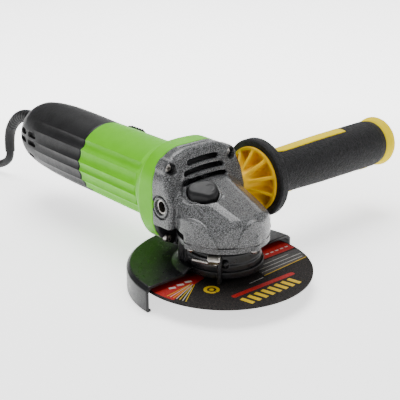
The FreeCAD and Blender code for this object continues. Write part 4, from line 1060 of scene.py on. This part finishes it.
def sector_at(centre, inner, outer, steps=36):
    """A round spot or a ring with a hairline gap, about a centre."""
    if inner <= 0:
        angles = [2 * math.pi * k / steps for k in range(steps)]
        outline = [(outer * math.cos(a), outer * math.sin(a)) for a in angles]
    else:
        outline = sector(inner, outer, 4, 356, steps)
    return [(centre[0] + px, centre[1] + py) for px, py in outline]


PRINT_LEFT = [
    (-14.0, -59.5), (-9.0, -34.0), (-5.9, -22.0), (5.4, -22.0), (9.0, -36.0), (16.5, -58.5), (10.0, -60.2),
    (0.0, -61.2),
]
PRINT_RIGHT = [(10.5, 20.0), (2.0, 21.0), (-6.0, 40.0), (-7.0, 60.0), (2.0, 61.3), (11.0, 60.4)]
PRINT_GREY = [(24.0, 11.5), (12.2, 19.5), (12.8, 60.0), (20.0, 58.0), (26.6, 55.2), (28.4, 30.0), (29.2, 12.0)]
disc_print()

# ---------------------------------------------------------------- side handle

HANDLE_X = -26.0


def handle_hub():
    low, step = (-25.4, 32.6, -25.4), 0.45
    u, v, w = sampled(low, (25.4, 62.0, 25.4), step)
    radius = np.hypot(u, w)
    ring = smax(np.abs(radius - 22.9) - 1.35, between(v, 51.4, 58.0), 0.7)
    floor_plate = np.maximum(radius - 24.0, between(v, 56.4, 58.4))
    cone_radius = np.interp(v, [33.0, 36.0, 44.0, 56.0], [7.5, 7.7, 9.4, 13.0]).astype(np.float32)
    cone = smax((radius - cone_radius) * 0.96, between(v, 33.0, 57.5), 0.8)
    body = smin(smin(ring, floor_plate, 1.2), cone, 1.6)
    for number in range(10):
        angle = math.radians(90.0 + 36.0 * number)
        along = u * math.cos(angle) + w * math.sin(angle)
        across = -u * math.sin(angle) + w * math.cos(angle)
        front = (38.6 + (along - 7.0) * 0.84 - v) / 1.306
        rib = smax(smax(np.abs(across) - 1.3, front, 0.9), along - 23.4, 0.4)
        rib = np.maximum(np.maximum(rib, v - 57.4), 4.5 - along)
        body = smin(body, rib, 1.3)
    body = np.maximum(body, -np.maximum(radius - 4.05, v - 60.5))
    points, faces = surface_nets(body, low, step)
    points = points + np.array([HANDLE_X, 0.0, ROTOR_Z])
    piece("handle_hub", points, faces, "yellow_plastic", "side_handle", ("handle_core",))


GRIP_PLACES = [53.0, 63.5, 66.5, 70.0, 74.0, 120.0, 181.0, 186.8]
GRIP_SIZES = [29.6, 19.0, 15.8, 15.6, 16.8, 18.2, 18.8, 17.7]


def grip_radius(along):
    """The grip's radius at a distance along the handle."""
    return np.interp(along, GRIP_PLACES, GRIP_SIZES)


GRIP = [
    (24.1, 53.0), (28.4, 52.8), (29.6, 54.4), (29.6, 60.0), (27.6, 61.6), (19.0, 63.5), (15.8, 66.5),
    (15.6, 70.0), (16.8, 74.0), (18.2, 120.0), (18.8, 181.0), (17.7, 186.8), (17.0, 187.0),
    (12.55, 184.0), (12.55, 66.0), (24.1, 58.6),
]
GRIP_RADII = [0.4, 1.2, 1.2, 1.6, 1.6, 3.0, 3.0, 2.5, 3.0, 20.0, 3.0, 0.8, 0.3, 0.2, 1.0, 0.4]


def leather(radius, height, turn):
    """Shallow pads pressed into the grip's outer face, softer at its ends."""
    moved = radius.copy()
    rows, columns = radius.shape
    for j in range(columns):
        y = height[0, j]
        if radius[0, j] < 15.0 or not 72.0 < y < 184.0:
            continue
        fade = min(1.0, (y - 72.0) / 6.0, (184.0 - y) / 5.0)
        for i in range(rows):
            r = radius[i, j]
            place = Vector((r * math.sin(turn[i, j]) / 2.6, y / 2.6, r * math.cos(turn[i, j]) / 2.6))
            near = noise.voronoi(place)[0]
            moved[i, j] -= 0.28 * fade * max(0.0, 1.0 - (near[1] - near[0]) * 4.0)
    return moved, height


lathe("grip_sleeve", GRIP, GRIP_RADII, "grip_rubber", "side_handle", at=(HANDLE_X, 0, ROTOR_Z), axis="Y",
      replaced=("handle_grip",), sides=220, longest=0.8, shape=leather)
CAP = [
    (12.4, 183.0), (17.2, 187.2), (18.4, 188.4), (20.1, 191.8), (20.2, 194.0), (19.2, 196.0), (16.8, 197.0),
    (9.4, 197.0),
    (9.0, 195.4), (0.02, 195.4), (0.02, 183.0),
]
CAP_RADII = [0.4, 0.5, 3.0, 2.5, 1.5, 1.2, 1.0, 0.4, 0.4, 0, 0]
lathe("handle_end_cap", CAP, CAP_RADII, "yellow_plastic", "side_handle",
      at=(HANDLE_X, 0, ROTOR_Z), axis="Y", sides=120, longest=2.0, look=LEMON_LOOK)


def grip_patch(name, centre, half_angle, first, last, proud, taper=0.0):
    """A raised strip of the yellow core, curved round the grip."""
    columns, rows = 17, max(6, int((last - first) / 2))
    outer, inner = [], []
    for i in range(rows + 1):
        t = i / rows
        y = first + (last - first) * t
        half = half_angle * min(1.0, 0.35 + (y - first) / taper if taper else 1.0)
        for j in range(columns):
            s = -1 + 2 * j / (columns - 1)
            angle = math.radians(centre + half * s)
            edge = min(1.0, (1 - abs(s)) * 6 + 0.35, t * rows * 0.6 + 0.35, (1 - t) * rows * 0.6 + 0.35)
            for store, lift in ((outer, proud * edge), (inner, -0.8)):
                r = float(grip_radius(y)) + lift
                store.append((HANDLE_X + r * math.sin(angle), y, ROTOR_Z + r * math.cos(angle)))
    count = len(outer)
    faces = []
    for base, order in ((0, 1), (count, -1)):
        for i in range(rows):
            for j in range(columns - 1):
                k = base + i * columns + j
                faces.append([k, k + 1, k + 1 + columns, k + columns][::order])
    border = list(range(columns))
    border += [i * columns + columns - 1 for i in range(1, rows + 1)]
    border += [rows * columns + j for j in range(columns - 2, -1, -1)]
    border += [i * columns for i in range(rows - 1, 0, -1)]
    for a, b in zip(border, border[1:] + border[:1]):
        faces.append([a, a + count, b + count, b])
    made = piece(name, outer + inner, faces, "yellow_plastic", "side_handle", look=LEMON_LOOK)
    right_way_out(made)


handle_hub()
grip_patch("grip_top_stripe", 0.0, 15.0, 70.5, 150.0, 0.55, taper=16.0)
grip_patch("grip_low_mark_near", 163.0, 9.0, 83.0, 87.5, 0.35)
grip_patch("grip_low_mark_far", 163.0, 10.0, 166.0, 176.0, 0.35)

# ---------------------------------------------------------------- inserts and strain relief

lathe("handle_insert", [(3.7, -33.2), (5.4, -33.2), (5.4, -22.0), (3.7, -22.0)], 0.5, "zinc_screws", "housing",
      at=(HANDLE_X, 0, ROTOR_Z), axis="Y", sides=64)


def strain_relief():
    """A ribbed sleeve that tapers along the cord's first stretch."""
    line = nurbs("relief_line", RELIEF_ROUTE, 0.0)
    mesh = bpy.data.meshes.new_from_object(line)
    path = np.array([vertex.co for vertex in mesh.vertices]) / MM
    curve = line.data
    bpy.data.objects.remove(line)
    bpy.data.curves.remove(curve)
    bpy.data.meshes.remove(mesh)
    gaps = np.linalg.norm(np.diff(path, axis=0), axis=1)
    reach = np.concatenate([[0], np.cumsum(gaps)])
    stations = np.arange(0, reach[-1] + 0.01, reach[-1] / 160)
    centre = np.stack([np.interp(stations, reach, path[:, k]) for k in range(3)], axis=1)
    ahead = np.gradient(centre, axis=0)
    ahead /= np.linalg.norm(ahead, axis=1)[:, None]
    side = np.array([0.0, 1.0, 0.0])
    ups = np.cross(side, ahead)
    taper = np.interp(stations, [0, 9, 12, 60, reach[-1]], [7.4, 7.4, 6.3, 4.9, 4.4])
    rib = np.where((stations > 16) & (stations < 62), 0.35 * (np.cos(stations * 2 * math.pi / 4.6) > 0.2), 0)
    radius = taper - rib
    turn = np.linspace(0, 2 * math.pi, 40, endpoint=False)
    grid = (centre[:, None, :] + radius[:, None, None] * (np.cos(turn)[None, :, None] * side
            + np.sin(turn)[None, :, None] * ups[:, None, :]))
    points = grid.reshape(-1, 3)
    faces = skin((len(stations), 40), True, False)
    made = piece("strain_relief_sleeve", points, faces, "black_rubber", "housing", ("strain_relief",))
    ends_closed(made, len(stations), 40)
    right_way_out(made)


strain_relief()

# ---------------------------------------------------------------- floor and light

def flat(name, half, height):
    mesh = bpy.data.meshes.new(name)
    corners = [(-half, -half, height), (half, -half, height), (half, half, height), (-half, half, height)]
    mesh.from_pydata(corners, [], [(0, 1, 2, 3)])
    made = bpy.data.objects.new(name, mesh)
    bpy.context.scene.collection.objects.link(made)
    return made


floor = flat("studio_floor", 6.0, FLOOR_Z * MM - 0.0001)
paper = Look("studio_paper", 0.6, specular=0.2)
paper.colour(paper.ramp(paper.noise(3.0, 2.0), (0.3, (0.90, 0.90, 0.90)), (0.7, (0.93, 0.93, 0.93))))
paper.bump(paper.noise(500.0, 3.0), 0.00002)
# The paper glows as painted light: emission 1.5 within 0.18 m of the tool's origin, rising to 2.9 beyond 0.5
# m. The floor is darker round the tool, and the glow also lights the tool from below.
reach = paper.node("ShaderNodeVectorMath", operation="LENGTH")
paper.link(paper.place, reach.inputs[0])
paper.shader.inputs["Emission Color"].default_value = (1, 1, 1, 1)
paper.link(paper.remap(reach.outputs["Value"], 0.18, 0.5, 1.5, 2.9), paper.shader.inputs["Emission Strength"])
floor.data.materials.append(paper.material)


def soft_light(name, place, target, size, power, colour=(1, 1, 1)):
    data = bpy.data.lights.new(name, "AREA")
    data.shape = "RECTANGLE"
    data.size, data.size_y = size
    data.energy = power
    data.color = colour
    light = bpy.data.objects.new(name, data)
    light.location = place
    light.rotation_euler = (Vector(target) - Vector(place)).to_track_quat("-Z", "Y").to_euler()
    bpy.context.scene.collection.objects.link(light)


AIM = (-0.06, 0.03, 0.05)
soft_light("top_softbox", (-0.35, 0.15, 1.2), AIM, (0.9, 0.9), 27.0)
soft_light("front_left_softbox", (0.1, -1.3, 0.7), AIM, (0.7, 0.6), 3.0)
soft_light("right_softbox", (1.2, 0.6, 0.9), AIM, (0.6, 0.8), 5.0)
soft_light("back_softbox", (-0.9, 1.1, 0.9), AIM, (0.9, 0.7), 6.0)

world = bpy.data.worlds.new("studio")
bpy.context.scene.world = world
world.use_nodes = True
world.node_tree.nodes["Background"].inputs["Color"].default_value = (1, 1, 1, 1)
world.node_tree.nodes["Background"].inputs["Strength"].default_value = 0.25
